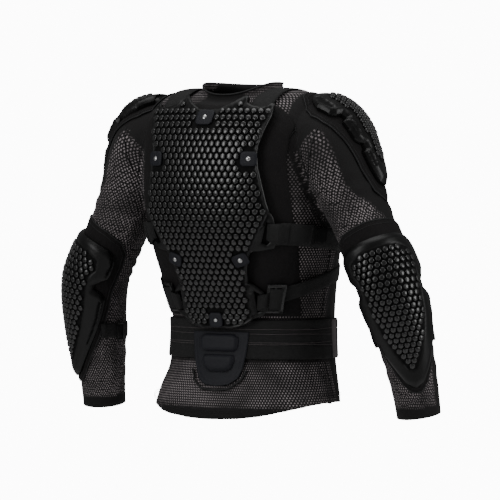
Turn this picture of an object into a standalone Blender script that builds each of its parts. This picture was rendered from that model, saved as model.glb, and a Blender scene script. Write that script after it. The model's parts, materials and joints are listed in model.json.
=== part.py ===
"""Protective jacket: cloth body with a back plate, shoulder caps, elbow guards and a kidney belt.

The wearer faces -Y with the left arm towards +X. Z is zero where the jacket sits on the shoulders.
Heights in the tables count up from the back of the hem, in shares of JACKET_HEIGHT. Distances
out from the middle are in shares of HALF_WIDTH, and lifts of the straps in shares of BAR_LIFT.
"""
import math

import bpy
import numpy as np
from mathutils import Vector
from mathutils.bvhtree import BVHTree
from mathutils.geometry import delaunay_2d_cdt

# Main sizes in metres
JACKET_HEIGHT = 0.590
HALF_WIDTH = 0.195
HALF_DEPTH = 0.131
BODY_POWER = 2.3
CLOTH = 0.002
GAP = 0.0003
ARMHOLE_GAP = 0.0006
PANEL_SEAT = 0.0012
SEAT = 0.0008
ARM_SEAT = 0.0008
ARM_BASE_TOP = 0.0034
GUARD_UNDER = 0.0038
GUARD_EDGE_TOP = 0.0090
GUARD_TOP = 0.0135
GUARD_DOME = 0.012
CAP_UNDER = 0.0070
CAP_EDGE_TOP = 0.0105
CAP_TOP = 0.0170
CHEST_UNDER = 0.0038
CHEST_EDGE_TOP = 0.0070
CHEST_TOP = 0.0110
CHEST_DOME = 0.010
STRAP_SEAT = 0.0004
ARM_RADIUS = 0.052
HEM_LIFT = 0.048
COLLAR_BAND = 0.012
COLLAR_LEAN = 0.0015
PANEL_TOP = 0.0036
PLATE_UNDER = 0.0085
PLATE_RIM = 0.0170
PLATE_FIELD = 0.0150
WING_TOP = 0.0125
STUD_HEIGHT = 0.0045
STUD_PITCH = 0.012
STUD_MARGIN = 0.0055
STUD_TAB_GAP = 0.004
PLATE_BEVEL = 0.0012
TAB_HALF_SIZE = 0.0135
TAB_THICK = 0.0022
RIVET_RADIUS = 0.0038
RIVET_EDGE = 0.0006
RIVET_TOP = 0.0016
RIVET_BEVEL = 0.0025
BELT_THICK = 0.0028
BELT_SEAT = 0.0024
BELT_LOW = 0.180
BELT_HIGH = 0.300
BELT_STEP = 0.008
BELT_SLOPE = 0.12
ZIP_THICK = 0.0022
ZIP_WIDTH = 0.010
ZIP_RISE = 0.0030
LUMBAR_SEAT = 0.0006
LUMBAR_THICK = 0.0022
PAD_SEAT = 0.0009
PAD_EDGE_TOP = 0.0024
PAD_SWELL = 0.0050
PAD_DOME = 0.009
STRAP_THICK = 0.0020
SHOULDER_STRAP_WIDTH = 0.040
BUCKLE_THICK = 0.003
BUCKLE_LIFT = 0.0086
ARM_BUCKLE_LIFT = 0.0042
BASE_STRAP_LIFT = 0.0046
BAR_CLEARANCE = 0.0020
BAR_LIFT = WING_TOP + BAR_CLEARANCE
CAP_RADIUS = 0.112
GUARD_MIDDLE = 55.0
BODY_SEGMENTS = 24
SLEEVE_SEGMENTS = 12
LENGTH_SQUEEZE = 0.55
SLIVER_AREA = 1e-9
SIDE_BOW = 0.0012
FAR_OUT = 4.0
ROUND_MIDDLE = -0.153
TOP_MIDDLE = 0.80
FACETS = {"panel": 0.024, "plate": 0.016, "tab": 0.013, "rivet": 0.008, "lumbar": 0.017,
          "pad": 0.010, "base": 0.026, "cap": 0.022, "arm_base": 0.019, "guard": 0.018,
          "chest": 0.026}
SAME_POINT = 0.0003

# Body sections below the shoulders: height, half width, half depth, middle towards the back
BODY_ROWS = (
    (0.000, 0.900, 0.940, -0.105),
    (0.075, 0.866, 0.890, -0.165),
    (0.150, 0.820, 0.825, -0.245),
    (0.230, 0.796, 0.800, -0.265),
    (0.305, 0.798, 0.800, -0.262),
    (0.400, 0.838, 0.850, -0.200),
    (0.500, 0.900, 0.926, -0.118),
    (0.600, 0.956, 0.983, -0.045),
    (0.690, 0.990, 1.000, -0.014),
    (0.775, 1.000, 0.975, 0.000),
    (0.850, 0.995, 0.915, 0.000),
)

# Shoulder sections: side height, back height, front height, half width, half depth
YOKE_ROWS = (
    (0.905, 0.892, 0.896, 0.960, 0.840),
    (0.951, 0.926, 0.934, 0.872, 0.735),
    (0.984, 0.944, 0.962, 0.728, 0.640),
    (0.995, 0.952, 0.978, 0.540, 0.560),
    (0.996, 0.959, 0.990, 0.370, 0.480),
)

# Left sleeve: out past the body's side, back, height of the middle in shares of JACKET_HEIGHT,
# tilt in degrees, then the radius across and the radius front to back in shares of ARM_RADIUS
SLEEVE_ROWS = (
    (-0.0935, 0.000, 0.849, 90.0, 1.12, 1.27),
    (-0.0385, 0.010, 0.848, 72.0, 1.25, 1.38),
    (0.0010, 0.018, 0.819, 53.0, 1.27, 1.42),
    (0.0290, 0.020, 0.770, 37.0, 1.21, 1.38),
    (0.0560, 0.018, 0.705, 28.0, 1.12, 1.26),
    (0.0955, 0.014, 0.622, 26.0, 1.05, 1.14),
    (0.1380, 0.012, 0.532, 24.0, 1.00, 1.08),
    (0.1730, 0.012, 0.464, 19.0, 1.01, 1.08),
    (0.1950, 0.010, 0.412, 12.0, 1.03, 1.08),
    (0.2100, -0.003, 0.345, 7.0, 1.01, 1.04),
    (0.2215, -0.026, 0.262, 6.0, 0.95, 0.98),
    (0.2320, -0.051, 0.177, 6.0, 0.87, 0.90),
    (0.2400, -0.071, 0.091, 6.0, 0.79, 0.83),
    (0.2440, -0.085, 0.018, 6.0, 0.75, 0.78),
)

# Back plate edge from the neck notch to the tail: half width, height
PLATE_EDGE = (
    (0.000, 0.918), (0.103, 0.920), (0.215, 0.936), (0.313, 0.955), (0.349, 0.952),
    (0.364, 0.937), (0.426, 0.930), (0.497, 0.926), (0.559, 0.927), (0.585, 0.937),
    (0.615, 0.934), (0.621, 0.902), (0.585, 0.863), (0.549, 0.821), (0.544, 0.799),
    (0.559, 0.757), (0.590, 0.708), (0.615, 0.659), (0.631, 0.631), (0.656, 0.612),
    (0.662, 0.547), (0.621, 0.523), (0.533, 0.516), (0.436, 0.512), (0.400, 0.496),
    (0.369, 0.455), (0.354, 0.418), (0.400, 0.411), (0.467, 0.389), (0.472, 0.330),
    (0.421, 0.313), (0.354, 0.308), (0.318, 0.295), (0.236, 0.281), (0.144, 0.274),
    (0.103, 0.275), (0.000, 0.276),
)

# Edge of the studded field where wings and lugs carry on beyond it: height, half width
FIELD_EDGE = (
    (0.272, 0.256), (0.308, 0.349), (0.418, 0.354), (0.496, 0.400), (0.551, 0.492),
    (0.620, 0.615), (0.639, 0.631), (1.000, 0.641),
)

# Slots in wing and lug: distance out, height
WING_SLOT = ((0.600, 0.603), (0.623, 0.598), (0.623, 0.547), (0.574, 0.532), (0.528, 0.538))
LUG_SLOT = ((0.387, 0.394), (0.433, 0.386), (0.433, 0.333), (0.387, 0.325))

# Tabs on the plate: name, distance out, height, half size out and up in shares of TAB_HALF_SIZE,
# lean in degrees
TABS = (
    ("top", 0.000, 0.896, 1.26, 0.81, 0.0),
    ("upper", 0.479, 0.783, 1.00, 0.89, 0.0),
    ("lower", 0.338, 0.491, 1.00, 0.74, 20.0),
    ("bottom", 0.000, 0.302, 0.96, 1.07, 0.0),
)

# Back panel edge from the neck to the belt: half width, height
PANEL_EDGE = (
    (0.000, 0.944), (0.231, 0.948), (0.410, 0.951), (0.605, 0.943), (0.749, 0.914),
    (0.810, 0.880), (0.779, 0.852), (0.769, 0.780), (0.795, 0.660), (0.790, 0.520),
    (0.733, 0.400), (0.703, 0.312), (0.000, 0.312),
)

# Lumbar panel and its pads: half width, height
LUMBAR_EDGE = (
    (0.000, 0.262), (0.256, 0.262), (0.241, 0.200), (0.215, 0.140), (0.185, 0.110),
    (0.113, 0.090), (0.000, 0.085),
)
UPPER_PAD_EDGE = (
    (0.000, 0.244), (0.123, 0.243), (0.164, 0.232), (0.159, 0.200), (0.128, 0.190), (0.000, 0.190),
)
LOWER_PAD_EDGE = (
    (0.000, 0.180), (0.128, 0.180), (0.138, 0.160), (0.113, 0.136), (0.072, 0.128), (0.000, 0.127),
)

# Middle that the shoulder cap curves round: out past the body's side in shares of JACKET_HEIGHT,
# height
CAP_MIDDLE = (-0.034, 0.788)

# Shoulder cap and its base: angle down the arm, angle front to back, both in degrees
CAP_EDGE = (
    (-8.0, 0.0), (-7.0, 13.0), (0.0, 23.0), (11.0, 32.0), (29.0, 33.0), (35.0, 29.0),
    (37.0, 23.0), (43.0, 22.0), (46.0, 28.0), (69.0, 25.0), (74.0, 21.0), (76.0, 16.0),
    (81.0, 15.0), (85.0, 18.0), (101.0, 12.0), (111.0, 6.0), (114.0, 0.0),
)
CAP_BASE_EDGE = (
    (-15.0, 0.0), (-14.0, 16.0), (-6.0, 30.0), (8.0, 40.0), (30.0, 42.0), (55.0, 38.0),
    (80.0, 30.0), (102.0, 21.0), (116.0, 11.0), (121.0, 0.0),
)

# Elbow guard and its base: angle round the sleeve in degrees, height
GUARD_EDGE = (
    (0.0, 0.530), (40.0, 0.528), (66.0, 0.521), (79.0, 0.506), (84.0, 0.482), (84.0, 0.450),
    (82.0, 0.432), (72.0, 0.420), (62.0, 0.405), (62.0, 0.390), (76.0, 0.378), (82.0, 0.360),
    (78.0, 0.320), (68.0, 0.270), (52.0, 0.215), (34.0, 0.160), (18.0, 0.120), (0.0, 0.104),
)
GUARD_BASE_EDGE = (
    (0.0, 0.576), (50.0, 0.570), (84.0, 0.552), (101.0, 0.520), (105.0, 0.475), (103.0, 0.425),
    (97.0, 0.380), (92.0, 0.335), (84.0, 0.290), (66.0, 0.225), (46.0, 0.165), (28.0, 0.115),
    (12.0, 0.090), (0.0, 0.086),
)

# Left chest plate: distance out, height
CHEST_EDGE = (
    (0.072, 0.880), (0.308, 0.900), (0.574, 0.880), (0.656, 0.800), (0.677, 0.640),
    (0.615, 0.520), (0.462, 0.470), (0.072, 0.455),
)

# Shoulder strap: inner edge's distance out, angle from the back over the top in degrees, lift
SHOULDER_STRAP = (
    (0.369, 33.0, 0.366), (0.374, 42.0, 0.366), (0.379, 50.0, 0.386), (0.384, 59.0, 0.359),
    (0.389, 70.0, 0.234), (0.389, 84.0, 0.110), (0.384, 100.0, 0.048), (0.379, 116.0, 0.048),
    (0.369, 132.0, 0.048), (0.359, 146.0, 0.048), (0.348, 160.0, 0.048),
)

# Side straps: angle round the body from the left side towards the back, upper edge, lower edge,
# lift
UPPER_SIDE_STRAP = (
    (45.6, 0.597, 0.549, 0.655), (44.0, 0.598, 0.547, 0.966), (42.0, 0.598, 0.540, 1.000),
    (39.5, 0.598, 0.535, 0.966), (37.5, 0.597, 0.532, 0.517), (34.0, 0.596, 0.530, 0.386),
    (26.0, 0.592, 0.527, 0.386), (18.0, 0.585, 0.522, 0.345), (9.0, 0.577, 0.517, 0.055),
    (-4.0, 0.568, 0.510, 0.055), (-20.0, 0.558, 0.502, 0.055), (-36.0, 0.548, 0.494, 0.055),
    (-52.0, 0.538, 0.486, 0.055),
)
LOWER_SIDE_STRAP = (
    (48.5, 0.380, 0.334, 0.655), (46.8, 0.382, 0.334, 0.966), (44.3, 0.385, 0.335, 1.000),
    (41.7, 0.388, 0.338, 0.966), (39.8, 0.391, 0.342, 0.517), (37.0, 0.396, 0.348, 0.386),
    (28.0, 0.408, 0.362, 0.386), (18.0, 0.422, 0.376, 0.345), (9.0, 0.434, 0.388, 0.055),
    (-4.0, 0.450, 0.404, 0.055), (-18.0, 0.463, 0.417, 0.055), (-33.0, 0.474, 0.430, 0.055),
    (-48.0, 0.484, 0.442, 0.055),
)

# Side buckle: angle round the body, upper edge, lower edge
SIDE_BUCKLE = ((37.0, 0.400, 0.340), (34.0, 0.400, 0.340), (31.0, 0.400, 0.340))

# Forearm strap: angle round the sleeve, upper edge, lower edge, whether it lies on the base
FOREARM_STRAP = (
    (74.0, 0.282, 0.236, 1), (82.0, 0.282, 0.236, 1), (90.0, 0.282, 0.236, 0),
    (112.0, 0.282, 0.236, 0), (135.0, 0.282, 0.236, 0), (158.0, 0.282, 0.236, 0),
    (180.0, 0.282, 0.236, 0), (202.0, 0.282, 0.236, 0), (225.0, 0.282, 0.236, 0),
    (248.0, 0.282, 0.236, 0), (270.0, 0.282, 0.236, 0), (278.0, 0.282, 0.236, 1),
    (286.0, 0.282, 0.236, 1),
)

# Forearm buckle: angle round the sleeve, upper edge, lower edge
FOREARM_BUCKLE = ((108.0, 0.288, 0.230), (116.0, 0.288, 0.230), (124.0, 0.288, 0.230))

# Heights of the zip's stations
ZIP_HEIGHTS = (0.040, 0.100, 0.160, 0.230, 0.300, 0.380, 0.460, 0.540, 0.620, 0.700, 0.780, 0.860,
               0.930, 0.966)

# Colours of the materials, and how rough and how metallic each one is
FINISHES = {
    "cloth": ((0.012, 0.012, 0.014), 0.85, 0.0),
    "smooth_cloth": ((0.016, 0.016, 0.018), 0.75, 0.0),
    "plastic": ((0.010, 0.010, 0.011), 0.35, 0.0),
    "navy": ((0.016, 0.018, 0.035), 0.60, 0.0),
    "webbing": ((0.013, 0.013, 0.014), 0.80, 0.0),
    "metal": ((0.550, 0.550, 0.560), 0.30, 1.0),
}


def level(share):
    """Height above the shoulder seat for a share of the jacket's height."""
    return (share - 1.0) * JACKET_HEIGHT


def clear_scene():
    """Remove whatever the file holds at the start."""
    for obj in list(bpy.data.objects):
        bpy.data.objects.remove(obj, do_unlink=True)


def material(slot):
    """One plain material for each slot."""
    found = bpy.data.materials.get(slot)
    if found:
        return found
    colour, rough, metallic = FINISHES[slot]
    made = bpy.data.materials.new(slot)
    made.use_nodes = True
    shader = made.node_tree.nodes["Principled BSDF"]
    shader.inputs["Base Color"].default_value = (*colour, 1.0)
    shader.inputs["Roughness"].default_value = rough
    shader.inputs["Metallic"].default_value = metallic
    return made


def add_object(name, points, faces, slot):
    """One mesh object from points and faces."""
    mesh = bpy.data.meshes.new(name)
    mesh.from_pydata([tuple(point) for point in points], [], faces)
    mesh.materials.append(material(slot))
    obj = bpy.data.objects.new(name, mesh)
    bpy.context.scene.collection.objects.link(obj)
    return obj


def add_mirrored(base, points, faces, slot):
    """The same piece on the left and, mirrored, on the right."""
    flipped = [(-point[0], point[1], point[2]) for point in points]
    turned = [tuple(reversed(face)) for face in faces]
    left = add_object(base + "_left", points, faces, slot)
    right = add_object(base + "_right", flipped, turned, slot)
    return left, right


def smooth_rows(rows, per_gap):
    """More rows between those of a table, on a smooth curve through them."""
    table = np.array(rows, dtype=float)
    result = []
    last = len(table) - 1
    for index in range(last):
        before = table[max(index - 1, 0)]
        start = table[index]
        end = table[index + 1]
        after = table[min(index + 2, last)]
        for step in range(per_gap):
            t = step / per_gap
            rise = 2 * start + (end - before) * t
            bend = (2 * before - 5 * start + 4 * end - after) * t * t
            turn = (3 * start - before - 3 * end + after) * t * t * t
            result.append((rise + bend + turn) / 2)
    result.append(table[last])
    return result


def power_ring(half_width, half_depth, middle, segments):
    """Points of a rounded oval with squarer corners, in x and y."""
    ring = []
    for index in range(segments):
        angle = 2 * math.pi * index / segments
        across = math.cos(angle)
        back = math.sin(angle)
        x = half_width * math.copysign(abs(across) ** (2 / BODY_POWER), across)
        y = middle + half_depth * math.copysign(abs(back) ** (2 / BODY_POWER), back)
        ring.append((x, y, back))
    return ring


def body_rings(inset, segments, per_gap=1):
    """Rings of the torso from hem to neck, drawn in by the inset."""
    rows = [(h, h, h, w, d, m) for h, w, d, m in BODY_ROWS]
    rows += [(side, back, front, w, d, 0.0) for side, back, front, w, d in YOKE_ROWS]
    rings = []
    for index, row in enumerate(smooth_rows(rows, per_gap)):
        side, back, front, wide, deep, middle = row
        hem = HEM_LIFT * max(0.0, 1.0 - index / (2.0 * per_gap))
        ring = []
        plan = power_ring(wide * HALF_WIDTH - inset, deep * HALF_DEPTH - inset,
                          middle * HALF_DEPTH, segments)
        drop = inset * min(1.0, max(0.0, (side - 0.84) / 0.10)) * (1.0 if side < 1.0 else 0.0)
        for x, y, turn in plan:
            end = back if turn > 0 else front
            lift = hem * (1.0 - max(turn, 0.0) ** 2) if turn > 0 else hem * (1.0 - 0.2 * turn * turn)
            height = side + (end - side) * turn * turn + lift
            ring.append(Vector((x, y, level(height) - drop)))
        rings.append(ring)
    return rings


def arm_middle(out, back, height):
    """Middle of the left sleeve for one row of its table."""
    return Vector((HALF_WIDTH + out * JACKET_HEIGHT, back * JACKET_HEIGHT, level(height)))


def sleeve_rings(change, segments, per_gap=1):
    """Rings of the left sleeve from shoulder to cuff, grown or shrunk by the change."""
    rings = []
    for out, back, height, tilt, across, deep in smooth_rows(SLEEVE_ROWS, per_gap):
        middle = arm_middle(out, back, height)
        lean = math.radians(tilt)
        side = Vector((math.cos(lean), 0.0, math.sin(lean)))
        rings.append([middle + side * ((across * ARM_RADIUS + change) * math.cos(turn))
                      + Vector((0.0, 1.0, 0.0)) * ((deep * ARM_RADIUS + change) * math.sin(turn))
                      for turn in (2 * math.pi * index / segments for index in range(segments))])
    return rings


def skin_faces(ring_count, segments, first=0, inward=False):
    """Faces joining rings of points into a tube."""
    faces = []
    for row in range(ring_count - 1):
        for index in range(segments):
            nxt = (index + 1) % segments
            a = first + row * segments + index
            b = first + row * segments + nxt
            c = first + (row + 1) * segments + nxt
            d = first + (row + 1) * segments + index
            faces.append((d, c, b, a) if inward else (a, b, c, d))
    return faces


def shell(outer, inner, upward):
    """Points and faces of a hollow tube with a wall, open at both ends."""
    segments = len(outer[0])
    count = len(outer)
    points = [point for ring in outer for point in ring] + [point for ring in inner for point in ring]
    offset = count * segments
    faces = skin_faces(count, segments, 0, not upward)
    faces += skin_faces(count, segments, offset, upward)
    for index in range(segments):
        nxt = (index + 1) % segments
        low = (index, offset + index, offset + nxt, nxt)
        top = (count - 1) * segments
        high = (top + index, top + nxt, offset + top + nxt, offset + top + index)
        faces.append(low if upward else tuple(reversed(low)))
        faces.append(high if upward else tuple(reversed(high)))
    return points, faces


def plug(rings, upward):
    """Points and faces of the same tube as a filled body."""
    segments = len(rings[0])
    points = [point for ring in rings for point in ring]
    faces = skin_faces(len(rings), segments, 0, not upward)
    low = tuple(reversed(range(segments)))
    high = tuple(range((len(rings) - 1) * segments, len(rings) * segments))
    faces.append(low if upward else tuple(reversed(low)))
    faces.append(high if upward else tuple(reversed(high)))
    return points, faces


def cut(obj, cutters):
    """Cut bodies out of an object and keep the result as its mesh."""
    for cutter in cutters:
        change = obj.modifiers.new("cut", "BOOLEAN")
        change.operation = "DIFFERENCE"
        change.solver = "EXACT"
        change.object = cutter
    bpy.context.view_layer.update()
    graph = bpy.context.evaluated_depsgraph_get()
    made = bpy.data.meshes.new_from_object(obj.evaluated_get(graph))
    obj.modifiers.clear()
    obj.data = made
    for cutter in cutters:
        bpy.data.objects.remove(cutter, do_unlink=True)


def mesh_lists(obj):
    """Points and faces of an object as plain lists."""
    points = [tuple(vertex.co) for vertex in obj.data.vertices]
    faces = [tuple(poly.vertices) for poly in obj.data.polygons]
    return points, faces


def make_torso():
    """Cloth body with a wall, cut open where the sleeves go through."""
    outer = body_rings(0.0, BODY_SEGMENTS)
    inner = body_rings(CLOTH, BODY_SEGMENTS)
    torso = add_object("torso", *shell(outer, inner, True), "cloth")
    grown = sleeve_rings(ARMHOLE_GAP, SLEEVE_SEGMENTS)
    cutters = add_mirrored("arm_cutter", *plug(grown, False), "cloth")
    cut(torso, cutters)


def make_sleeves():
    """Cloth sleeves that start at the inside of the body."""
    outer = sleeve_rings(0.0, SLEEVE_SEGMENTS)
    inner = sleeve_rings(-CLOTH, SLEEVE_SEGMENTS)
    rough = add_object("sleeve", *shell(outer, inner, False), "cloth")
    hollow = add_object("body_cutter", *plug(body_rings(CLOTH, BODY_SEGMENTS), True), "cloth")
    cut(rough, [hollow])
    points, faces = mesh_lists(rough)
    bpy.data.objects.remove(rough, do_unlink=True)
    add_mirrored("sleeve", points, faces, "cloth")


def outside_tree(with_sleeves):
    """Search tree of the finished outside, for seating the other pieces on it."""
    segments = 120
    rings = body_rings(0.0, segments)
    points = [point for ring in rings for point in ring]
    faces = skin_faces(len(rings), segments)
    if with_sleeves:
        for side in (1.0, -1.0):
            first = len(points)
            arm = sleeve_rings(0.0, segments)
            points += [Vector((side * p.x, p.y, p.z)) for ring in arm for p in ring]
            faces += skin_faces(len(arm), segments, first)
    return BVHTree.FromPolygons(points, faces)


def placer(hit, heart, step_u, step_w):
    """A function from plan position to surface point and outward normal."""
    def place(u, w):
        point = hit(u, w)
        along_u = hit(u + step_u, w) - hit(u - step_u, w)
        along_w = hit(u, w + step_w) - hit(u, w - step_w)
        normal = along_u.cross(along_w).normalized()
        if normal.dot(point - heart(u, w)) < 0:
            normal = -normal
        return point, normal
    return place


def from_behind(tree, facing):
    """Places for distance out and height, seen from the back or from the front."""
    def hit(x, share):
        start = Vector((x * HALF_WIDTH, FAR_OUT * HALF_DEPTH * facing, level(share)))
        found = tree.ray_cast(start, Vector((0.0, -facing, 0.0)))[0]
        return found

    def heart(x, share):
        return Vector((x * HALF_WIDTH * 0.5, 0.0, level(min(share, 0.85))))
    return placer(hit, heart, 0.02, 0.006)


def round_body(tree):
    """Places for the angle round the body from the left towards the back, and height share."""
    def hit(angle, share):
        turn = math.radians(angle)
        way = Vector((math.cos(turn), math.sin(turn), 0.0))
        centre = Vector((0.0, ROUND_MIDDLE * HALF_DEPTH, level(share)))
        return tree.ray_cast(centre + way * (FAR_OUT * HALF_WIDTH), -way)[0]

    def heart(angle, share):
        return Vector((0.0, ROUND_MIDDLE * HALF_DEPTH, level(share)))
    return placer(hit, heart, 1.5, 0.006)


def over_shoulder(tree):
    """Places for distance out and the angle from the back over the top to the front."""
    def hit(x, angle):
        turn = math.radians(angle)
        way = Vector((0.0, math.cos(turn), math.sin(turn)))
        centre = Vector((x * HALF_WIDTH, 0.0, level(TOP_MIDDLE)))
        return tree.ray_cast(centre + way * (FAR_OUT * HALF_DEPTH), -way)[0]

    def heart(x, angle):
        return Vector((x * HALF_WIDTH, 0.0, level(TOP_MIDDLE)))
    return placer(hit, heart, 0.015, 2.0)


def round_shoulder(tree):
    """Places for the angle down the arm and the angle front to back, for the left cap."""
    out, height = CAP_MIDDLE
    centre = arm_middle(out, 0.0, height)

    def hit(down, back):
        a = math.radians(down)
        b = math.radians(back)
        way = Vector((math.sin(a) * math.cos(b), math.sin(b), math.cos(a) * math.cos(b)))
        return tree.ray_cast(centre + way * (FAR_OUT * CAP_RADIUS), -way)[0]

    def heart(down, back):
        return centre
    return placer(hit, heart, 2.5, 2.5)


def round_arm():
    """Places for the angle round the left sleeve from its guard's middle, and height share."""
    table = np.array(SLEEVE_ROWS, dtype=float)[::-1]

    def section(share):
        return [float(np.interp(share, table[:, 2], table[:, column])) for column in range(6)]

    def hit(angle, share):
        out, back, height, tilt, across, deep = section(share)
        turn = math.radians(angle + GUARD_MIDDLE)
        lean = math.radians(tilt)
        middle = arm_middle(out, back, height)
        side = Vector((math.cos(lean), 0.0, math.sin(lean)))
        return (middle + side * (across * ARM_RADIUS * math.cos(turn))
                + Vector((0.0, deep * ARM_RADIUS * math.sin(turn), 0.0)))

    def heart(angle, share):
        out, back, height = section(share)[:3]
        return arm_middle(out, back, height)
    return placer(hit, heart, 3.0, 0.008)


def whole_outline(half):
    """Closed outline from the half with positive widths, anticlockwise or clockwise."""
    other = [(-u, w) for u, w in reversed(half) if u > 1e-6]
    return list(half) + other


def spaced(outline, spacing, scale, facing=1.0):
    """The outline with extra points so that no side is longer than the spacing in metres.

    Straight sides bow out by a hair, or in round a hole, so that no three points are in line.
    """
    result = []
    area = sum(a[0] * b[1] - b[0] * a[1] for a, b in zip(outline, outline[1:] + outline[:1]))
    facing = math.copysign(facing, facing * area)
    for index, start in enumerate(outline):
        end = outline[(index + 1) % len(outline)]
        along = ((end[0] - start[0]) * scale[0], (end[1] - start[1]) * scale[1])
        length = math.hypot(*along)
        parts = max(1, math.ceil(length / spacing))
        for step in range(parts):
            t = step / parts
            bow = facing * SIDE_BOW * t * (1 - t) / length
            result.append((start[0] + (end[0] - start[0]) * t + along[1] * bow / scale[0],
                           start[1] + (end[1] - start[1]) * t - along[0] * bow / scale[1]))
    return result


def edge_distance(points, outline):
    """Distance of each point to the outline's nearest side."""
    points = np.asarray(points, dtype=float)
    start = np.asarray(outline, dtype=float)
    side = np.roll(start, -1, axis=0) - start
    best = np.full(len(points), 1e9)
    for origin, along in zip(start, side):
        length = max(float(along @ along), 1e-18)
        t = np.clip(((points - origin) @ along) / length, 0.0, 1.0)
        away = points - (origin + t[:, None] * along)
        best = np.minimum(best, np.hypot(away[:, 0], away[:, 1]))
    return best


def inside(points, outline):
    """Whether each point lies inside the outline."""
    points = np.asarray(points, dtype=float)
    count = np.zeros(len(points), dtype=int)
    for index, (x0, y0) in enumerate(outline):
        x1, y1 = outline[(index + 1) % len(outline)]
        crosses = (y0 > points[:, 1]) != (y1 > points[:, 1])
        rise = (y1 - y0) if abs(y1 - y0) > 1e-15 else 1e-15
        x = x0 + (points[:, 1] - y0) * (x1 - x0) / rise
        count += crosses & (points[:, 0] < x)
    return count % 2 == 1


def lattice(outline, pitch, margin):
    """Points of a triangular lattice that lie inside the outline by the margin."""
    plan = np.asarray(outline)
    low = plan.min(axis=0)
    high = plan.max(axis=0)
    middle = (low + high) / 2
    row_step = pitch * math.sqrt(3) / 2
    rows = int((high[1] - low[1]) / row_step / 2) + 2
    columns = int((high[0] - low[0]) / pitch / 2) + 2
    points = [(middle[0] + (column + 0.5 * (row % 2)) * pitch, middle[1] + row * row_step)
              for row in range(-rows, rows + 1) for column in range(-columns, columns + 1)]
    keep = inside(points, outline) & (edge_distance(points, outline) > margin)
    return [point for point, kept in zip(points, keep) if kept]


def plan_triangles(loops, extra):
    """Triangles that fill the outer loop round the holes, through the extra points."""
    points = [point for loop in loops for point in loop] + list(extra)
    edges = []
    first = 0
    for loop in loops:
        edges += [(first + i, first + (i + 1) % len(loop)) for i in range(len(loop))]
        first += len(loop)
    out = delaunay_2d_cdt([Vector(point) for point in points], edges, [], 0, 1e-7)
    faces = [tuple(face) for face in out[2]]
    made = [tuple(point) for point in out[0]]
    centres = [tuple(np.mean([made[i] for i in face], axis=0)) for face in faces]
    keep = inside(centres, loops[0])
    for hole in loops[1:]:
        keep &= ~inside(centres, hole)
    chosen = []
    for face, kept in zip(faces, keep):
        if kept:
            a, b, c = (Vector(made[i]) for i in face)
            turn = (b.x - a.x) * (c.y - a.y) - (b.y - a.y) * (c.x - a.x)
            if abs(turn) > SLIVER_AREA:
                chosen.append(face if turn > 0 else tuple(reversed(face)))
    return made, chosen


def settle(points, plan, faces, place, floor):
    """How far to raise each point so that no face dips below the floor above the surface."""
    raised = [0.0] * len(points)
    for face in faces:
        corners = list(face)
        groups = [corners] + [[corners[i], corners[(i + 1) % len(corners)]]
                              for i in range(len(corners))]
        lack = 0.0
        for group in groups:
            spot = [sum(plan[i][k] for i in group) / len(group) for k in (0, 1)]
            middle = sum((points[i] for i in group), Vector((0.0, 0.0, 0.0))) / len(group)
            base, normal = place(*spot)
            lack = max(lack, floor - (middle - base).dot(normal))
        for i in corners:
            raised[i] = max(raised[i], lack)
    return raised


def pad(outline, place, under, over, spacing, scale, bevel=0.0, studs=None, holes=(), low=1.3):
    """Points and faces of a body seated on the surface.

    The outline is in plan units and scale turns those into metres. Under and over give the heights
    of the lower and upper face for a plan position in metres and its distance to the edge.
    """
    size = np.array(scale)
    loops = []
    for loop in (outline,) + tuple(holes):
        facing = -1.0 if loops else 1.0
        metric = [tuple(np.array(p) * size) for p in spaced(loop, spacing, scale, facing)]
        area = sum(a[0] * b[1] - b[0] * a[1] for a, b in zip(metric, metric[1:] + metric[:1]))
        loops.append(metric if (area > 0) == (len(loops) == 0) else metric[::-1])
    ring = []
    if bevel > 0:
        for loop in loops:
            plan = np.array(loop)
            ahead = np.roll(plan, -1, axis=0) - np.roll(plan, 1, axis=0)
            left = np.stack([-ahead[:, 1], ahead[:, 0]], axis=1)
            left /= np.maximum(np.linalg.norm(left, axis=1), 1e-9)[:, None]
            ring += [tuple(point) for point in plan + left * bevel]
        near = np.min([edge_distance(ring, loop) for loop in loops], axis=0)
        ring = [p for p, d in zip(ring, near) if d > 0.9 * bevel]
    if studs is None:
        top_extra = ring + away_from(lattice(loops[0], spacing, spacing * 0.5), loops[1:], ring,
                                     spacing * 0.5)
        raised = []
    else:
        top_extra, raised = studs(loops, ring)
    low_extra = away_from(lattice(loops[0], spacing * low, spacing * 0.6), loops[1:], [],
                          spacing * 0.6)
    points = []
    faces = []
    for extra, heights, upper in ((low_extra, under, False), (top_extra, over, True)):
        made, chosen = plan_triangles(loops, extra)
        depth = np.min([edge_distance(made, loop) for loop in loops], axis=0)
        first = len(points)
        for spot, away in zip(made, depth):
            base, normal = place(spot[0] / scale[0], spot[1] / scale[1])
            height = heights(spot[0], spot[1], float(away))
            if upper:
                height += extra_height(spot, raised)
            points.append(base + normal * height)
        faces += [tuple(i + first for i in (face if upper else reversed(face))) for face in chosen]
        if not upper:
            step = len(points)
            plan = [(spot[0] / scale[0], spot[1] / scale[1]) for spot in made]
            floor = min(heights(spot[0], spot[1], float(away)) for spot, away in zip(made, depth))
            lifts = settle(points, plan, chosen, place, floor)
            for index, lift in enumerate(lifts):
                normal = place(*plan[index])[1]
                points[index] = points[index] + normal * lift
    start = 0
    for loop in loops:
        count = len(loop)
        for index in range(count):
            a = start + index
            b = start + (index + 1) % count
            faces.append((a, b, b + step, a + step))
        start += count
    return outward(points, faces)


def extra_height(spot, raised):
    """What a stud or a valley at this plan position adds to the height."""
    for places, height in raised:
        if np.min(np.hypot(places[:, 0] - spot[0], places[:, 1] - spot[1])) < SAME_POINT:
            return height
    return 0.0


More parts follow.
